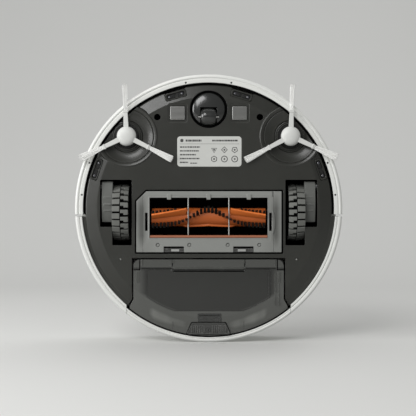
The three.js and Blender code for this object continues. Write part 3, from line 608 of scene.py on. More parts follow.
def sweeper_bowl():
    """The scoop that a side brush turns in: a round lip, a step, a hollow that flattens, and two collars."""
    lip = [(40.4, 8), (40.4, 10), (40, 9.5), (39.4, 9.1), (38.8, 9.05), (38, 9.25), (37, 9.65),
           (36, 10.05), (35.6, 10.4), (35.3, 11.6)]
    hollow = [(34.8, 11.8), (34.4, 11), (34, 10.9)]
    hollow += [(34 - 12.8 * i / 10, 10.9 + 4.6 * sin(i / 10 * pi / 2)) for i in range(1, 11)]
    collars = [(20.4, 17.3), (20, 15.4), (19.2, 15.2), (18.9, 16.6), (18, 16.6), (17.7, 14.6), (16.8, 14.5),
               (16.4, 15.4)]
    return turned(lip + hollow + collars + [(0, 15.4), (0, 8)], SWEEPER.at(), 128)


def rim_facing(place):
    """The direction along the rim at a place, in radians."""
    return atan2(place[1], place[0]) + pi / 2


def cliff_block(place, w, d, z0, z1, corner=0, out=0, edge=0, segments=3):
    """A block across the rim at a cliff sensor's place, its long side along the rim."""
    made = block(-w / 2, w / 2, -d / 2 - out, d / 2 - out, z0, z1, corner, edge, segments)
    return spun(made, in_degrees(rim_facing(place)), place)


def shifted_along(obj, place, distance):
    """Slides a mesh along the rim, sideways from the line through place."""
    facing = rim_facing(place)
    return moved(obj, Matrix.Translation((distance * cos(facing), distance * sin(facing), 0)))


def contact_recess(side):
    x, y = CONTACT.at(side)
    return (block(x - 12.8, x + 12.8, y - 13.2, y + 12.4, 9, 10.55, 3.4, 0.35, 2),
            slab((x, y), 21, 19.4, 9, 12, 1.8))


def chassis_shell():
    profile = [
        (0, PLATE_Z), (144.4, PLATE_Z), (145.2, 10.06), (146, 10.3), (159.4, 14.5), (160.3, 14.9), (160.8, 15.4),
        (RIM_R, 16.1), (RIM_R, 79), (158.5, 79), (158.5, 17.6), (145, PLATE_TOP), (0, PLATE_TOP),
    ]
    flange = [(159, 15), (164.4, 15), (REAR_RIM_R, 15.6), (REAR_RIM_R, 17.4), (159, 17.4)]
    pad_profile = [(0, 9), (39.8, 9), (40.4, 9.9), (41.5, 12), (41.5, 18.6), (0, 18.6)]
    pads = [sided(common(turned(pad_profile, SWEEPER.at(), 128), disc((0, 0), 160.6, 0, THROUGH, 192)), side)
            for _, side in SIDES]
    shell = turned(profile, sides=192)
    shell = combined(shell, [rear_arc(flange, at_y(11.3), 160), *pads], "UNION")
    tools = [
        prism(cover_outline(2.1, 1.6), 0, THROUGH),
        prism(bin_outline(GAP), 0, 90),
        disc(CASTER.at(), CASTER.cup_r + 0.4, 0, THROUGH, 96),
        slab(LABEL.at(), 85.4, 41.2, 9, 10.3, 4.6),
    ]
    for _, side in SIDES:
        tools += [
            sided(prism(bay_outline(), 0, THROUGH), side),
            sided(sweeper_bowl(), side),
            disc(SWEEPER.at(side), SWEEPER.nose_r, 0, THROUGH),
            disc(SCREW.at(side), SCREW.r, 0, 22),
            disc(PIN.at(side), PIN.r, 0, 14, 24),
            *contact_recess(side),
        ]
    for place in CLIFFS.values():
        tools += [cliff_block(place, 29, 10.5, 0, 19.5, 2.5), cliff_block(place, 31, 6, 0, 30, 1.2, 8.4)]
    piece("chassis_shell", cut(shell, *tools), "chassis", CHARCOAL, "chassis_base")


def chassis_fittings():
    for word, side in SIDES:
        plate = slab(CONTACT.at(side), CONTACT.w, CONTACT.d, 9.4, 11.6, 1.5, 0.8)
        piece(f"contact_plate_{word}", plate, "chassis", CONTACT_STEEL, f"charging_contact_{word}")
        # The screw wells and the screw heads are near-black, painted shade that makes the screw holes read dark.
        well = [(0, 22), (SCREW.r, 22), (SCREW.r, 11.5), (6.5, 11.5), (6.5, 25), (0, 25)]
        piece(f"screw_well_{word}", turned(well, SCREW.at(side), 48), "chassis", VOID)
        head = [(0, 20.5), (1.4, 20.5), (1.7, 19.9), (3.2, 20.1), (3.5, 21), (3.5, 22), (0, 22)]
        piece(f"screw_{word}", turned(head, SCREW.at(side), 32), "chassis", VOID)
        pin = [(0, 9.4), (0.5, 9.5), (0.9, 9.9), (1.05, 10.4), (1.05, 12.4), (0, 12.4)]
        piece(f"pin_{word}", turned(pin, PIN.at(side), 24), "chassis", STEEL)
    for word, place in CLIFFS.items():
        body = cut(cliff_block(place, 28.2, 9.6, 12.2, 19, 3), cliff_block(place, 24.2, 6.2, 0, 15.2, 2.4))
        modules = []
        for way in (-1, 1):
            modules.append(shifted_along(cliff_block(place, 9.6, 5.2, 13.6, 16, 0.8, 0, 0.3, 2), place, way * 6.1))
            modules += [shifted_along(cliff_block(place, 0.7, 5, 13.3, 15, 0.1), place, way * 6.1 + bar * way)
                        for bar in (-3, -1, 1)]
        body = rounded_edges(body, 0.5, 3)
        piece(f"cliff_body_{word}", body, "chassis", CHARCOAL, f"cliff_sensor_{word}")
        piece(f"cliff_modules_{word}", gathered(modules), "chassis", BLACK)
        for end, way in (("a", -1), ("b", 1)):
            lens = turned([(0, 12.7), (1, 12.9), (1.7, 13.5), (2, 14.6), (0, 14.6)], place, 32)
            piece(f"cliff_lens_{word}_{end}", shifted_along(lens, place, way * 8.6), "chassis", LENS)


def label():
    """A pale film with rows of dashes and six plain signs, none of which can be read."""
    ink = (9.66, 9.73)
    marks = []

    def bar(x0, x1, y, thick, gaps=0):
        """A printed line broken into word-like dashes."""
        x = x0
        while x < x1:
            length = x1 - x if not gaps else min(x1 - x, DICE.uniform(1.1, 3.6))
            marks.append(block(x, x + length, y - thick / 2, y + thick / 2, *ink))
            x += length + (gaps or 1)

    film = slab(LABEL.at(), LABEL.w, LABEL.d, 9.72, 9.98, 4)
    piece("label_film", film, "chassis", LABEL_FILM, "rating_label")
    left, top = LABEL.x - LABEL.w / 2, LABEL.y - LABEL.d / 2
    marks.append(block(left + 4, left + 8, top + 3.4, top + 7.4, *ink, 1.4))
    bar(left + 11, left + 31.5, top + 5.5, 2.6, 0.5)
    bar(left + 45.5, left + 79, top + 5.5, 2.1, 0.5)
    bar(left + 3.2, left + 80.5, top + 9.8, 0.3)
    for row, length in enumerate((26, 24.5, 20.5, 25.5, 10.5)):
        bar(left + 3.6, left + 3.6 + length, top + 13.9 + row * 5, 1.7, 0.6)
    bar(left + 17, left + 26, top + 34.9, 1.3, 0.5)
    ring = [(3.3, ink[0]), (4.3, ink[0]), (4.3, ink[1]), (3.3, ink[1])]
    for column in range(3):
        for row in range(2):
            place = (left + 48 + column * 13.4, top + 17.5 + row * 12)
            sides = 3 + column + 3 * row
            marks += [turned(ring, place, sides if sides < 7 else 40), disc(place, 1.2, *ink, 20)]
    piece("label_marks", gathered(marks), "chassis", INK)


# ---- white ring ----
def ring_profile(inner, groove, groove_w, groove_depth):
    """The ring's section, with a round lower edge and a shallow groove beside its inner flange."""
    roll_r, low = 3.3, RING_Z
    roll = [(BODY_R - roll_r + roll_r * cos(a), low - 0.3 + roll_r + roll_r * sin(a))
            for a in [radians(-90 + 10 * i) for i in range(10)]]
    return [
        (inner, low + 2.6), (inner, low + 0.7), (inner + 0.25, low + 0.2), (inner + 0.8, low),
        (groove - 0.35, low), (groove, low + 0.3), (groove + 0.1, low + groove_depth),
        (groove + groove_w - 0.1, low + groove_depth), (groove + groove_w, low + 0.2),
        (groove + groove_w + 0.4, low - 0.1), *roll,
        (BODY_R, 60), (BODY_R, RING_TOP - 1.4), (BODY_R - 0.4, RING_TOP - 0.4), (BODY_R - 1.4, RING_TOP),
        (167.5, RING_TOP), (167.5, RING_TOP - 2), (BODY_R - 2.6, RING_TOP - 2.4), (BODY_R - 2.6, low + 3.6),
    ]


def white_ring():
    front = front_arc(ring_profile(164.1, 169, 1.5, 0.7), 192)
    holes, screws = [], []
    for degrees in (10.3, 69.2, 84):
        for _, side in SIDES:
            turn = radians(side * degrees)
            place = (166.5 * sin(turn), -166.5 * cos(turn))
            holes.append(disc(place, 1.35, 0, RING_Z + 1.6, 24))
            screws.append(disc(place, 1.1, RING_Z + 1.2, RING_Z + 2.4, 24))
    piece("bumper_skin", cut(front, *holes), "bumper_ring", WHITE, "bumper")
    piece("bumper_screws", gathered(screws), "bumper_ring", DARK_STEEL)
    for word, side in SIDES:
        band = arc(ring_profile(165.6, 168.4, 1, 1.1), at_x(FACADE_HALF + GAP), at_y(BAND_START), 96)
        piece(f"band_{word}", sided(band, side), "chassis", WHITE, f"side_band_{word}")
    rear = rear_arc(ring_profile(168.6, 170.4, 0.8, 0.6), at_x(FACADE_HALF), 128)
    piece("bin_band", rear, "dust_bin", WHITE, "bin_facade")


def painted_gap_shade():
    """A black ring that closes the gap between the chassis and the bumper, painted shade that keeps the gap dark."""
    skirt = front_arc([(161.1, 17.8), (168.5, 17.8), (168.5, 18.8), (161.1, 18.8)], 160)
    piece("gap_shade_skirt", skirt, "chassis", VOID)


# ---- top: cover, keys and turret ----
def top_pieces():
    profile = [
        (0, 79.5), (166, 79.5), (166, RING_TOP + GAP), (173.2, RING_TOP + GAP), (174, 75.2), (174.5, 76.2),
        (174.5, 77.4), (174, 79), (172.8, 80.6), (171, 81.6), (168.6, SHELL_TOP), (160.4, SHELL_TOP),
        (160.1, 81.5), (159.5, 81.5), (159.2, SHELL_TOP), (0, SHELL_TOP),
    ]
    holes = [disc(LIDAR.at(), 43, 70, 90, 96)]
    holes += [disc(BUTTON.at(side), BUTTON.r + GAP, 70, 90) for _, side in SIDES]
    piece("top_cover", cut(turned(profile, sides=192), *holes), "chassis", WHITE, "top_shell")
    for name, side in (("power", -1), ("home", 1)):
        r = BUTTON.r
        key = [(0, 78), (r + 1.6, 78), (r + 1.6, 79.1), (r, 79.1), (r, 82.2), (r - 0.3, 82.6), (r - 0.8, 82.8),
               (r - 1.6, 82.7), (r * 0.5, 82.3), (0, 82.2)]
        piece(f"{name}_key_cap", turned(key, BUTTON.at(side), 64), f"{name}_key", PALE, f"{name}_button")
        ring = [(3, 82.3), (3.6, 82.3), (3.6, 82.55), (3, 82.5)]
        piece(f"{name}_key_ring", turned(ring, BUTTON.at(side), 48), f"{name}_key", INK)


def turret():
    seat = [(40.5, 74), (40.5, 84.2), (41, 84.6), (45.6, 84.6), (46.4, 84.2), (46.8, 83.4), (47, 82.35),
            (42.6, 82.35), (42.6, 72), (0, 72), (0, 74)]
    piece("turret_seat", turned(seat, LIDAR.at(), 128), "chassis", GREY, "lidar_base")
    lid = [(0, 93.4), (46, 93.4), (46.7, 93.7), (47, 94.3), (46.6, 95.1), (45.6, 95.7), (44.2, 96), (38.2, 96),
           (37.9, 95.6), (37.3, 95.6), (37, 96), (0, 96)]
    posts = [spun(block(-3.5, 3.5, 42, 45.4, 84.95, 94, 1.2, 0.3), degrees, LIDAR.at())
             for degrees in (45, 135, 225, 315)]
    piece("turret_lid", gathered([turned(lid, LIDAR.at(), 128), *posts]), "chassis", WHITE, "lidar_cap")
    drum = [(0, 74.4), (38, 74.4), (38, 84.6), (37.4, 85.2), (37.4, 91.4), (38, 92), (38, 92.6), (37.4, 93), (0, 93)]
    eyes = [block(x - 6, x + 6, LIDAR.y - 39, LIDAR.y - 29, 84, 91.5) for x in (-9, 9)]
    piece("turret_drum", cut(turned(drum, LIDAR.at(), 96), *eyes), "lidar_rotor", GLOSSY, "lidar_spinner")
    glass = []
    for x in (-9, 9):
        lens = turned([(0, 0), (4.4, 0), (4.4, 1.2), (2.8, 2.2), (0, 2.6)], (0, 0), 32)
        forward = Matrix.Rotation(radians(90), 4, "X")
        glass.append(moved(lens, Matrix.Translation((x, LIDAR.y - 32, 87.8)) @ forward))
    piece("turret_lenses", gathered(glass), "lidar_rotor", LENS)


# ---- drive wheels ----
def tread_block(row, turn):
    """One tread block; the inner row's blocks have a step, so that their grooves open towards the middle."""
    edge, step, half = WHEEL.half, 4.8, 3.65
    if row:
        points = [(0.5, -half), (edge, -half), (edge, half), (0.5, half)]
    else:
        points = [(-edge, -half), (-0.4, -half), (-0.4, 1), (-step, 1), (-step, 3.3), (-edge, 3.3)]
    made = rounded_edges(prism(points, -WHEEL.r, -WHEEL.r + 4.4), 0.45, 2)
    for vert in made.data.vertices:
        x, y, z = (c / MM for c in vert.co)
        crown = 1.1 * max(0, (abs(x) - 6) / 4.5) ** 2
        angle = y / WHEEL.r
        reach = -z - crown
        vert.co.y, vert.co.z = reach * sin(angle) * MM, -reach * cos(angle) * MM
    return moved(made, Matrix.Rotation(turn, 4, "X"))


def drive_wheel(word, side):
    centre = Matrix.Translation((WHEEL.x, WHEEL.y, WHEEL.r))
    band = turned_x(symmetric([(27.35, -10.3), (33.2, -10.3), (33.9, -9.6), (34.1, -8)]), (0, 0), 96)
    tread = gathered([tread_block(row, 2 * pi * (i + row / 2) / WHEEL.blocks) for row in (0, 1)
                      for i in range(WHEEL.blocks)])
    half, r = WHEEL.half, WHEEL.hub_r
    face = [(0, -half + 3.2), (7, -half + 3), (8, -half + 1.4), (10, -half + 1.6), (22, -half + 2.4),
            (24.4, -half + 1.2), (26.2, -half + 1), (r, -half + 1.6), (r, half - 1), (9, half - 1),
            (9, half + 0.4), (0, half + 0.4)]
    holes = [rod(4.6, -20, 6, (16 * cos(pi * i / 3), 16 * sin(pi * i / 3))) for i in range(6)]
    hub = gathered([cut(turned_x(face, (0, 0), 96), *holes), rod(4, 0, 19, (0, 0), 48)])
    # The band between the tread blocks is near-black, painted shade at the bottoms of the grooves.
    for name, obj, material, replaced, slot in (
        ("tyre_band", band, VOID, (), "tyre_rubber"),
        ("tread", tread, RUBBER, f"tyre_{word}", None),
        ("wheel_disc", hub, GEARBOX, f"wheel_hub_{word}", None),
    ):
        piece(f"{name}_{word}", sided(moved(obj, centre), side), f"wheel_{word}", material, replaced)


def gearbox(word, side):
    """The drive's casing: a barrel-shaped shoe round the gears, with the motor above it."""
    crown = [(y, 10.9 + 0.0062 * (y + 8.3) ** 2) for y in (-35 + 53.4 * i / 18 for i in range(19))]
    outline = rounded([*crown, (18.4, 40), (11, 47.5), (-4, 49), (-14, 42), (-25, 30), (-35, 26)], 1.2, 3)
    body = side_prism(outline, ARM.inner, ARM.outer)
    body = cut(body, rod(2.6, 124, 142, (ARM.pivot_y, ARM.pivot_z)), rod(4.1, 120, 135, (WHEEL.y, WHEEL.r), 48))
    motor = turned_x([(0, 126), (11.4, 126), (12, 126.6), (12, 137.4), (11.4, 138), (0, 138)], (-6, 52), 64)
    bosses = [turned_x([(0, 127), (r, 127), (r + 0.4, 127.6), (r + 0.4, 136.4), (r, 137), (0, 137)], (y, z), 40)
              for y, z, r in ((-14, 12.6, 1.3), (-4.5, 12.2, 1.5), (3.5, 12.8, 1.2))]
    whole = gathered([rounded_edges(body, 1.9, 4, 50), motor, *bosses])
    piece(f"gearbox_{word}", sided(whole, side), f"drive_{word}", GEARBOX, f"wheel_arm_{word}")


# ---- caster ----
def caster():
    bore, cup_r, dome_r, edge = CASTER.bore, CASTER.cup_r, CASTER.dome_r, CASTER.half
    cup = [(bore, 10.8), (23, 10.3), (23.4, 10), (23.9, 10), (cup_r, 10.4), (cup_r, 28), (0, 28), (0, 26),
           (bore, 26)]
    piece("caster_cup", turned(cup, CASTER.at(), 96), "chassis", VOID, "caster_socket")
    crown = [(dome_r * sin(a), 12.6 - 5.2 * cos(a)) for a in [radians(7.5 * i) for i in range(1, 13)]]
    half, wy, wr = edge + 1.2, CASTER.wheel_y, CASTER.wheel_r
    tools = [
        rod(wr + 1.4, -half, half, (wy, wr), 64),
        block(-half, half, wy - 7, wy + wr + 6, 0, wr),
        rod(1.6, -16, 16, (wy, wr)),
        *[slab((side * 11.9, wy), 3.2, 3.6, 0, wr) for _, side in SIDES],
    ]
    dome = turned([(0, 7.4), *crown, (dome_r, 25.6), (0, 25.6)], CASTER.at(), 96)
    piece("caster_dome", cut(dome, *tools), "caster_swivel", GLOSSY, "caster_housing")
    section = [(0, -edge), (8.2, -edge), (9.2, -edge + 0.5), (10.4, -edge + 2.2), (11.2, -edge + 4.2),
               (wr, -edge + 6.4)]
    wheel = cut(turned_x(symmetric(section), (wy, wr), 96), rod(1.58, -12, 12, (wy, wr)))
    piece("caster_roll", wheel, "caster_roller", GLOSSY, "caster_wheel")


# ---- side brushes ----
def strand(points, radius, sides=5):
    """A thin tube through points, pinched at its end."""
    verts = []
    for i, point in enumerate(points):
        ahead = Vector(points[min(i + 1, len(points) - 1)]) - Vector(points[max(i - 1, 0)])
        turn = ahead.to_track_quat("Z", "Y")
        size = radius * (0.55 if i == len(points) - 1 else 1)
        for k in range(sides):
            a = 2 * pi * k / sides
            verts.append(Vector(point) + turn @ Vector((size * cos(a), size * sin(a), 0)))
    return verts, loops_to_faces(len(points), sides, False, True)


def bundle(strands):
    """Many strands as one mesh."""
    verts, faces = [], []
    for strand_verts, strand_faces in strands:
        start = len(verts)
        verts += strand_verts
        faces += [tuple(start + k for k in face) for face in strand_faces]
    return mesh_object(verts, faces)


def sweeper_hair(share, flare, turn):
    """One bristle of an arm, share of the arm's half width from its middle."""
    depth = DICE.uniform(-1, 1)
    reach = SWEEPER.reach - 2.2 - 0.8 * share ** 2 - DICE.uniform(0, 1.6)
    bow = DICE.uniform(-0.35, 0.35)
    line = []
    for t in [k / 6 for k in range(7)]:
        across = share * (2.3 + flare * t) + bow * sin(pi * t)
        up = 7 + depth * (1.1 + 0.7 * t) - 1.9 * t * t
        line.append(turn @ Vector((33 + (reach - 33) * t, across, up)))
    return strand(line, 0.24)


def side_brush(word, side):
    dome = [(0, 2.6), (3, 2.7), (6, 3), (8.6, 3.7), (10.6, 4.8), (11.9, 6.2), (12.5, 7.6), (SWEEPER.hub_r, 8.6),
            (12.4, 9.6), (0, 9.6)]
    parts = [turned(dome), disc((0, 0), 8, 9, 11.6), disc((0, 0), 3, 9, 24, 32)]
    hairs = []
    for degrees, flare in zip(SWEEPER_ANGLES[word], (0.9, 2.2, 2.7)):
        root = rounded(symmetric([(9, -3.3), (31.5, -2.6), (32.6, -3), (34, -2.9)]), 0.5, 2)
        parts.append(spun(rounded_edges(prism(root, 5.2, 8.8), 0.9), degrees))
        parts.append(spun(block(30.6, 32.4, -3.3, 3.3, 4.8, 9, 0.4, 0.3, 2), degrees))
        turn = Matrix.Rotation(radians(degrees), 3, "Z")
        hairs += [sweeper_hair((i + 0.5) / SWEEPER.hairs * 2 - 1, flare, turn) for i in range(SWEEPER.hairs)]
    centre = Matrix.Translation((*SWEEPER.at(side), 0))
    body = f"sweeper_{word}"
    piece(f"{body}_rubber", moved(gathered(parts), centre), body, SWEEPER_WHITE, f"side_brush_{word}")
    piece(f"{body}_bristles", moved(bundle(hairs), centre), body, BRISTLE)


# ---- main brush ----
def brush_turn(x):
    """How far the rows have turned at a place along the brush, in radians."""
    return radians(BRUSH.twist) * (abs(x) / BRUSH.half) ** 0.65


def on_brush(x, radius, angle):
    """A point on the brush: angle 0 is straight down, and positive angles lean to the rear."""
    turn = angle + brush_turn(x)
    return (x, BRUSH.y + radius * sin(turn), BRUSH.z - radius * cos(turn))


def brush_sleeve():
    steps, sides, length = 60, 72, BRUSH.half - 0.6
    rows = []
    for x in [-length + 2 * length * i / steps for i in range(steps + 1)]:
        turns = [2 * pi * k / sides for k in range(sides)]
        rows.append([on_brush(x, BRUSH.drum - 0.35 + 0.35 * cos(2 * (a - radians(-30))), a) for a in turns])
    parts = [lofted(rows)]
    for lead in (radians(-62), radians(118)):
        parts += [blade(lead, -1), blade(lead, 1), heel(lead + radians(112))]
    piece("brush_rubber", gathered(parts), "main_brush", ORANGE_WITH_AXIS_SHADE, "main_brush_sleeve", 50)


def heel(lead):
    """A low rubber lip across the middle of the brush that ends in two points."""
    half, steps = 37.5, 40
    section = [(11.4, -0.10), (13, -0.05), (13.9, 0.00), (14.1, 0.05), (13.8, 0.10), (12.8, 0.16), (11.4, 0.24)]
    rows = []
    for x in [-half + 2 * half * i / steps for i in range(steps + 1)]:
        fade = max(0.05, min(1, (half - abs(x)) / 7))
        rows.append([on_brush(x, 11.4 + (r - 11.4) * fade, lead + offset - 0.6 * brush_turn(x))
                     for r, offset in section])
    return lofted(rows)


def blade(lead, side):
    """A rubber flap that leans forward a little and thins towards its tip."""
    start, end, steps = GUARD_X + 2.6, BRUSH.half - 1, 36
    section = [(11.5, 0.02), (14.5, -0.05), (18, -0.075), (20.6, -0.055), (21.5, -0.01), (21.5, 0.045),
               (20.4, 0.09), (17.5, 0.14), (14.5, 0.24), (11.5, 0.42)]
    rows = []
    for x in [side * (start + (end - start) * i / steps) for i in range(steps + 1)]:
        wave = 0.25 * sin(x * 0.5)
        rows.append([on_brush(x, r + (wave if r > 20 else 0) * 0.5, lead + offset) for r, offset in section])
    return lofted(rows)


def middle_share(x):
    """1 at the middle of the brush, falling to 0 towards its ends."""
    return exp(-((abs(x) / 30) ** 1.7))


def tuft_rows():
    """Rows of stiff black bristle tufts, the ones at the middle bent forward."""
    strands, pitch = [], 4.8
    count = int(BRUSH.half // pitch)
    for lead, bend, from_x in ((-32, -10, 0), (148, -10, 0), (-92, 4, 42), (88, 4, 42)):
        for x in [n * pitch for n in range(-count, count + 1) if abs(n * pitch) >= from_x]:
            for _ in range(BRUSH.tufts):
                offset = DICE.uniform(-1.45, 1.45)
                splay = DICE.uniform(-0.35, 0.35)
                lean = DICE.uniform(-0.08, 0.08)
                tip = 21.4 - DICE.uniform(0, 0.8)
                if min(abs(abs(x + offset) - GUARD_X), abs(abs(x + offset + splay) - GUARD_X)) < 1.5:
                    continue
                line = []
                for t in (0, 0.5, 1):
                    level = radians(71) * (1 - middle_share(x)) - brush_turn(x)
                    angle = radians(lead + bend * middle_share(x) * t) + lean + level
                    place = on_brush(x, 11.2 + (tip - 11.2) * t, angle)
                    line.append((place[0] + offset + splay * t, *place[1:]))
                strands.append(strand(line, 0.42, 4))
    piece("brush_tufts", bundle(strands), "main_brush", BLACK_BRISTLE)


def brush_core():
    axis = (BRUSH.y, BRUSH.z)
    parts = [rod(6, -80, 80, axis, 48)]
    for _, side in SIDES:
        cap = [(0, 76.6), (11, 76.6), (11.6, 77.2), (11.6, 78.6), (10.4, 79.4), (10.4, 81), (9.8, 81.4), (0, 81.4)]
        parts.append(turned_x([(r, side * x) for r, x in cap], axis, 64))
    parts.append(turned_x([(0, -93), (6.2, -93), (6.5, -92.5), (6.5, -81), (0, -81)], axis, 4))
    parts.append(turned_x([(0, 81), (4, 81), (4, 86.6), (3.6, 87), (0, 87)], axis, 48))
    piece("brush_shaft", gathered(parts), "main_brush", BLACK, "main_brush_core")


# ---- brush cover ----
def cover_frame():
    z, front, rear, half = COVER.z, COVER.front, COVER.rear, MOUTH.half
    dimple = [(0, 0), (2.8, 0), (2.8, z + 1.7), (1.6, z + 1.7), (1.5, z + 0.7), (0, z + 0.5)]
    plate = rounded_edges(prism(cover_outline(0, 1), z, COVER.top), 0.7)
    tools = [
        block(-half, half, MOUTH.front, MOUTH.rear, 0, 20, 0.6),
        *[block(x - 1.7, x + 1.7, 6, 29.6, 0, 20, 0.4) for x in (-81, 80.5)],
        *[block(x - 13.2, x + 13.2, 49.8, 60, 0, 20, 0.6) for x in (-LATCH_X, LATCH_X)],
        *[turned(dimple, (x, 48), 40) for x in (-66, -25, 25, 66)],
        block(84.6, 85.6, front - 2, rear + 2, 0, z + 0.6),
        block(82.8, 85.4, front - 2, front + 7.5, 0, z + 1.6, 0.6),
        block(-85.6, -84.8, front + 3, rear + 2, 0, z + 0.5),
        block(-78.5, 83.5, -15.6, -15, 0, z + 0.3),
    ]
    tabs = [block(x - 2.7, x + 2.7, MOUTH.front - 4.6, MOUTH.front + 2.6, z - 1.1, z + 1.8, 0.7, 0.45)
            for x in (-51.4, 0, 52.4)]
    lip = rounded([(82.6, 3), (84.6, 5), (86.2, 11), (86.6, 18.5), (86.2, 26), (84.6, 32), (82.6, 34)], 1.6)
    lip = rounded_edges(prism(lip, z - 0.7, z + 0.6), 0.4)
    rim = block(-half - 1.3, half + 1.3, MOUTH.front - 1.1, MOUTH.rear + 1.1, z - 0.3, z + 0.4, 1)
    rim = cut(rim, block(-half, half, MOUTH.front, MOUTH.rear, 0, 20, 0.6))
    piece("cover_plate", gathered([cut(plate, *tools), *tabs, lip, rim]), "cover", COVER_GREY_WITH_PAINTED_SHADE, "brush_cover")


def cover_fittings():
    z = COVER.z
    wire = [(GUARD_X, MOUTH.front - 1.5, 9.4), (GUARD_X, MOUTH.front + 2, 9.1), (GUARD_X, 12, 8.9),
            (GUARD_X, SCRAPER_FRONT - 2, 9.1), (GUARD_X, SCRAPER_FRONT + 0.6, 9.6)]
    for word, side in SIDES:
        guard = mesh_object(*strand(wire, 0.85, 12))
        piece(f"guard_{word}", sided(guard, side), "cover", PALE_METAL, f"guard_wire_{word}")
    strip = [(SCRAPER_FRONT, 9.4), (SCRAPER_FRONT + 0.6, 8.6), (MOUTH.rear - 0.4, 8.6), (MOUTH.rear - 0.4, 12.2),
             (SCRAPER_FRONT, 12.2)]
    strip = side_prism(rounded(strip, 0.4, 3), -MOUTH.half + GAP, MOUTH.half - GAP)
    piece("scraper", strip, "cover", SCRAPER, "scraper_strip")
    for word, side in SIDES:
        plate = slab((LATCH_X, 54.65), 25.6, 5.3, z + 0.9, COVER.top, 0.6)
        well = slab((LATCH_X, 52.1), 13.6, 4.2, 0, z + 2.6, 0.3)
        ribs = [slab((LATCH_X + s * x, 54.3), 0.8, 4.6, 0, z + 1.3) for s in (-1, 1) for x in (8.2, 10, 11.6)]
        latch = rounded_edges(cut(plate, well, *ribs), 0.12, 1)
        piece(f"latch_plate_{word}", sided(latch, side), f"latch_{word}", LATCH_GREY, f"cover_latch_{word}")
        tab = block(LATCH_X - 7.2, LATCH_X + 3.2, 53.4, 56.4, 8, 9.4, 0.5, 0.35, 2)
        piece(f"latch_tab_{word}", sided(tab, side), f"latch_{word}", TAB_GREY)


# ---- dust bin ----
def door_outline(grow):
    """The door: straight at the front and the sides, then round the flat's edge to a straight rear edge."""
    half, rear = DOOR.half + grow, DOOR.rear + grow
    reach = hypot(DOOR.half, DOOR.corner_y) + grow
    first, last = acos(half / reach), asin(rear / reach)
    turns = [first + (last - first) * i / 12 for i in range(13)]
    right = [(reach * cos(turn), reach * sin(turn)) for turn in turns]
    left = [(-x, y) for x, y in reversed(right)]
    return [(-half, DOOR.front - grow), (half, DOOR.front - grow), *right, *left]


def release_outline(grow):
    front, rear = RELEASE.front_half + grow, RELEASE.rear_half + grow
    points = [(-front, RELEASE.front - grow), (front, RELEASE.front - grow), (rear, RELEASE.rear + grow),
              (-rear, RELEASE.rear + grow)]
    return rounded(points, 2)


def seam_blocks(z0, z1):
    """The straight seams between the bin's mouldings."""
    spans = ((88.9, 90.4, 66.9, 81), (88.9, 97.9, 79.6, 81), (48.6, 87.6, 77.6, 78.6), (46.5, 47.9, 66.9, 79.2))
    spans = [*spans, *[(-x1, -x0, y0, y1) for x0, x1, y0, y1 in spans]]
    return [block(*span, z0, z1) for span in spans]


def bin_outside(inset, lift):
    """The turned shape that bounds the bin: a flat underside that rises a little behind the door."""
    z, out = BIN.z + lift, 172 - inset
    profile = [
        (0, z), (BIN.flat_r, z), (BIN.flat_r + 3, z + 0.15), (163.6 - inset, z + 1.7), (165 - inset, z + 1.9),
        (165.9 - inset, z + 2.2), (166.5 - inset, z + 2.9), (166.5 - inset, 17.2 + inset), (out, 17.2 + inset),
        (out, BIN.top), (0, BIN.top),
    ]
    return turned(profile, sides=192)


def bin_tray():
    z, top, wall, front = BIN.z, BIN.top, BIN.wall, BIN.front
    outline = rounded(bin_outline(-BIN.inset), [9, 9, 2, 1, 0, 0, 1, 2], 8)
    body = common(prism(outline, z, top), bin_outside(0, 0))
    hollow = common(prism(bin_outline(-BIN.inset - wall), z + wall, top - wall), bin_outside(wall, wall + 0.2))
    tools = [
        hollow,
        prism(door_outline(GAP), 0, z + wall + 1),
        prism(release_outline(0.7), 0, z + 5.4),
        block(-58, -2, front - 2, front + 4, 25, 43, 3),
        block(14, 80, front - 2, front + 4, 20, 54, 2),
        *seam_blocks(0, z + 1.5),
        *[slab((side * 46.2, 153), 1, 10, 0, z + 2.2) for _, side in SIDES],
    ]
    piece("bin_tray", cut(body, *tools), "dust_bin", BIN_CLEAR, "dust_bin_shell", 25)
    liner = cut(prism(bin_outline(-GAP - wall - 0.3), z + 4.2, z + 5), prism(door_outline(-3), 0, THROUGH),
                prism(release_outline(1.5), 0, THROUGH))
    piece("bin_liner", common(liner, bin_outside(wall + 0.3, wall + 0.5)), "dust_bin", BLACK)


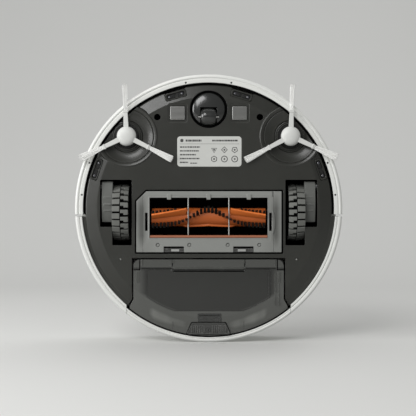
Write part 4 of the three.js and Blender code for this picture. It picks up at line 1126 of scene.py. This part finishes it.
def bin_details():
    z = BIN.z
    gap = rear_arc([(166.7, 14.4), (168.4, 14.4), (168.4, 15.4), (166.7, 15.4)], at_x(103.6), 128)
    piece("bin_seams", gathered([*seam_blocks(z + 0.4, z + 1.5), gap]), "dust_bin", VOID)
    parts = []
    for _, side in SIDES:
        parts.append(slab((side * 86.6, 70.8), 2, 8.4, z - 0.5, z + 0.4, 0.5, 0.35, 2))
        parts.append(slab((side * 46, 69.4), 2.4, 5.2, z - 0.5, z + 0.4, 0.8, 0.35, 2))
        wedge = [(side * x, y) for x, y in ((45.2, 78.6), (48.6, 74), (50.6, 74), (47.2, 78.6))]
        parts.append(prism(rounded(wedge, 0.3, 2), z - 0.3, z + 0.4))
    parts.append(block(-45.6, 45.6, 76.4, 79.2, z - 0.3, z + 0.4, 0.8, 0.3, 2))
    parts += [block(*span, 83, 97, z - 0.45, z + 0.4, 1, 0.35, 2) for span in ((-94.4, -89.6), (90.2, 94))]
    parts += [block(x - 0.7, x + 0.7, 84, 127, z - 0.3, z + 0.3, 0.4) for x in (86.8, 91.6)]
    piece("bin_trim", gathered(parts), "dust_bin", TRIM_SMOKY)
    plinth = block(-14.4, 16.8, 137, 147.8, z - 0.3, z + 0.8, 1.2, 0.4, 2)
    grooves = [block(-12, 14.4, y, y + 0.8, 0, z) for y in (139.6, 142.2, 144.8)]
    piece("bin_plinth", cut(plinth, *grooves), "dust_bin", SMOKY_DARK)


def bin_door():
    z = BIN.z
    lip_line = (-46.9, 46.9, 81.2, 83)
    tools = [block(*lip_line, 0, z + 1.5)]
    tools += [prism([(x, 82.7), (x - lean, 78.4), (x - lean + 1, 78.4), (x + 1, 82.7)], 0, z + 0.6)
              for x, lean in ((-45.2, 2.6), (44.6, -2.6))]
    tools.append(block(77, 78.4, 84, 112, 0, z + 0.5))
    flap = rounded_edges(cut(prism(door_outline(0), z, z + 1.8), *tools), 0.15, 1)
    piece("bin_flap_seam", block(*lip_line, z + 0.4, z + 1.5), "dust_door", VOID)
    hinges = []
    for x in (-47, 48):
        knuckle = [(0, x - 1.8), (1.25, x - 1.8), (1.4, x - 1.5), (1.4, x + 1.5), (1.25, x + 1.8), (0, x + 1.8)]
        hinges.append(turned_x(knuckle, (81.4, z + 0.9), 32))
    piece("bin_flap_whole", gathered([flap, *hinges]), "dust_door", BIN_CLEAR, "bin_door", 25)


def bin_release():
    z, eye = BIN.z, (0, 159)
    key = prism(release_outline(-GAP), z - 0.2, z + 3.6)
    ring = turned([(2.2, 0), (3.3, 0), (3.3, z + 2), (2.2, z + 2)], eye, 40)
    key = cut(key, prism(release_outline(-1.7), 0, z + 0.5), ring, disc(eye, 1.2, 0, z + 2, 24))
    bars = [slab((i * 2.75, 157.8), 1.4, 9.6, z - 0.2, z + 0.8, 0.3, 0.2, 1) for i in range(-8, 9) if abs(i) > 1]
    piece("bin_release_key", gathered([key, *bars]), "bin_button", RELEASE_SMOKY, "bin_latch", 25)


# ---- pieces that keep their CAD shape ----
def dress(material, *names):
    """Gives CAD nodes a material and slightly rounded edges. A * in a name stands for left and right."""
    for name in [name.replace("*", word) for name in names for word, _ in SIDES[:1 + ("*" in name)]]:
        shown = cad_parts[name]
        shown.data.materials.clear()
        shown.data.materials.append(material)
        bevelled(shown, 0.3, 2, 40)


def dress_cad():
    # The wheel wells and the brush chamber are near-black: black plastic, darkened further as painted shade.
    dress(VOID, "wheel_well_*", "brush_chamber")
    dress(BLACK, "battery_pack", "fan_housing", "side_brush_motor_*")
    dress(CHARCOAL, "brush_gearmotor", "main_brush_bearing", "filter_frame")
    dress(DARK_STEEL, "suspension_pin_*", "suspension_spring_*")
    dress(STEEL, "caster_axle")
    dress(PALE, "fan_impeller")
    dress(PAPER, "filter_pleats")
    dress(BOARD, "main_board")


# ---- stage, lights and camera, in metres ----
STAGE_REACH_M = 6
STAGE_GREY = (0.74, 0.74, 0.725)


def one_sided(name):
    """A paper-like stage surface that can be looked through from behind."""
    made = bpy.data.materials.new(name)
    nodes = Nodes(made)
    cloud = nodes.noise(nodes.place(), 1.3, 2)
    nodes.feed("Base Color", nodes.mixed(cloud, [c * 0.985 for c in STAGE_GREY], [c * 1.015 for c in STAGE_GREY]))
    nodes.feed("Roughness", 0.7)
    nodes.feed("Specular IOR Level", 0.15)
    nodes.thinned(nodes.add("NewGeometry", out="Backfacing"))
    return made


def sheet_of(name, profile, direction):
    """A stage sheet through (y, z) points, its first face looking along direction."""
    mesh = bpy.data.meshes.new(name)
    verts = [(x, y, z) for y, z in profile for x in (-STAGE_REACH_M, STAGE_REACH_M)]
    mesh.from_pydata(verts, [], [(2 * i, 2 * i + 1, 2 * i + 3, 2 * i + 2) for i in range(len(profile) - 1)])
    mesh.materials.append(one_sided(name.replace("_", " ")))
    mesh.shade_smooth()
    mesh.update()
    if mesh.polygons[0].normal.dot(direction) < 0:
        mesh.flip_normals()
    made = linked(mesh, name)
    return made


def make_stage():
    """A sweep behind the object, which stands on it by its rear edge, and a floor for views of the object upright."""
    floor_y, back_z, bend = CAD_BOX[1].y + 0.0002, 2.1, 1.2
    curve = [(floor_y, -STAGE_REACH_M), (floor_y, back_z - bend)]
    curve += [(floor_y - bend + bend * cos(a), back_z - bend + bend * sin(a))
              for a in [pi / 2 * i / 16 for i in range(1, 17)]]
    sweep = sheet_of("stage_sweep", [*curve, (-STAGE_REACH_M, back_z)], Vector((0, -1, 0)))
    sweep.visible_diffuse = sweep.visible_shadow = False
    ground = sheet_of("stage_ground", [(-STAGE_REACH_M, 0), (STAGE_REACH_M, 0)], Vector((0, 0, 1)))
    ground.location.z = CAD_BOX[0].z - 0.0003
    ground.visible_diffuse = ground.visible_glossy = False
    ground.visible_transmission = ground.visible_shadow = False


def area_light(name, place, aim, size, power):
    data = bpy.data.lights.new(name, "AREA")
    data.shape = "RECTANGLE"
    data.size, data.size_y = size
    data.energy = power
    lamp = linked(data, name)
    lamp.location = place
    lamp.rotation_euler = (Vector(aim) - Vector(place)).to_track_quat("-Z", "Y").to_euler()
    lamp.visible_camera = False


def make_lights():
    world = bpy.data.worlds.new("studio")
    world.use_nodes = True
    background = world.node_tree.nodes["Background"].inputs
    background[0].default_value = (0.96, 0.97, 0.955, 1)
    background[1].default_value = 0.345
    bpy.context.scene.world = world
    area_light("key", (-1.7, -0.42, -0.72), (0, 0.05, 0.05), (0.9, 0.9), 19)
    area_light("upper_left", (-0.75, -1.1, -1.5), (0, 0, 0), (0.9, 0.9), 17)
    area_light("overhead", (0.1, -1.7, 0.62), (0.1, 0.17, 0.62), (2, 1.1), 6)
    area_light("above", (1, -1.6, 1.3), (0, 0, 0.05), (1.2, 1.2), 4)


def make_camera():
    frame_width_m = 0.5435
    data = bpy.data.cameras.new("camera")
    data.lens = 85
    data.sensor_width = 36
    data.clip_end = 50
    camera = linked(data, "camera")
    camera.location = (-0.0008, -0.0002, 0.014 - frame_width_m * data.lens / data.sensor_width)
    camera.rotation_euler = (pi, 0, 0)
    bpy.context.scene.camera = camera


# ---- the whole scene ----
make_camera()
make_stage()
make_lights()
chassis_shell()
chassis_fittings()
label()
white_ring()
painted_gap_shade()
top_pieces()
turret()
for word, side in SIDES:
    drive_wheel(word, side)
    gearbox(word, side)
    side_brush(word, side)
caster()
brush_sleeve()
tuft_rows()
brush_core()
cover_frame()
cover_fittings()
bin_tray()
bin_details()
bin_door()
bin_release()
dress_cad()
bpy.context.scene.view_settings.view_transform = "Standard"
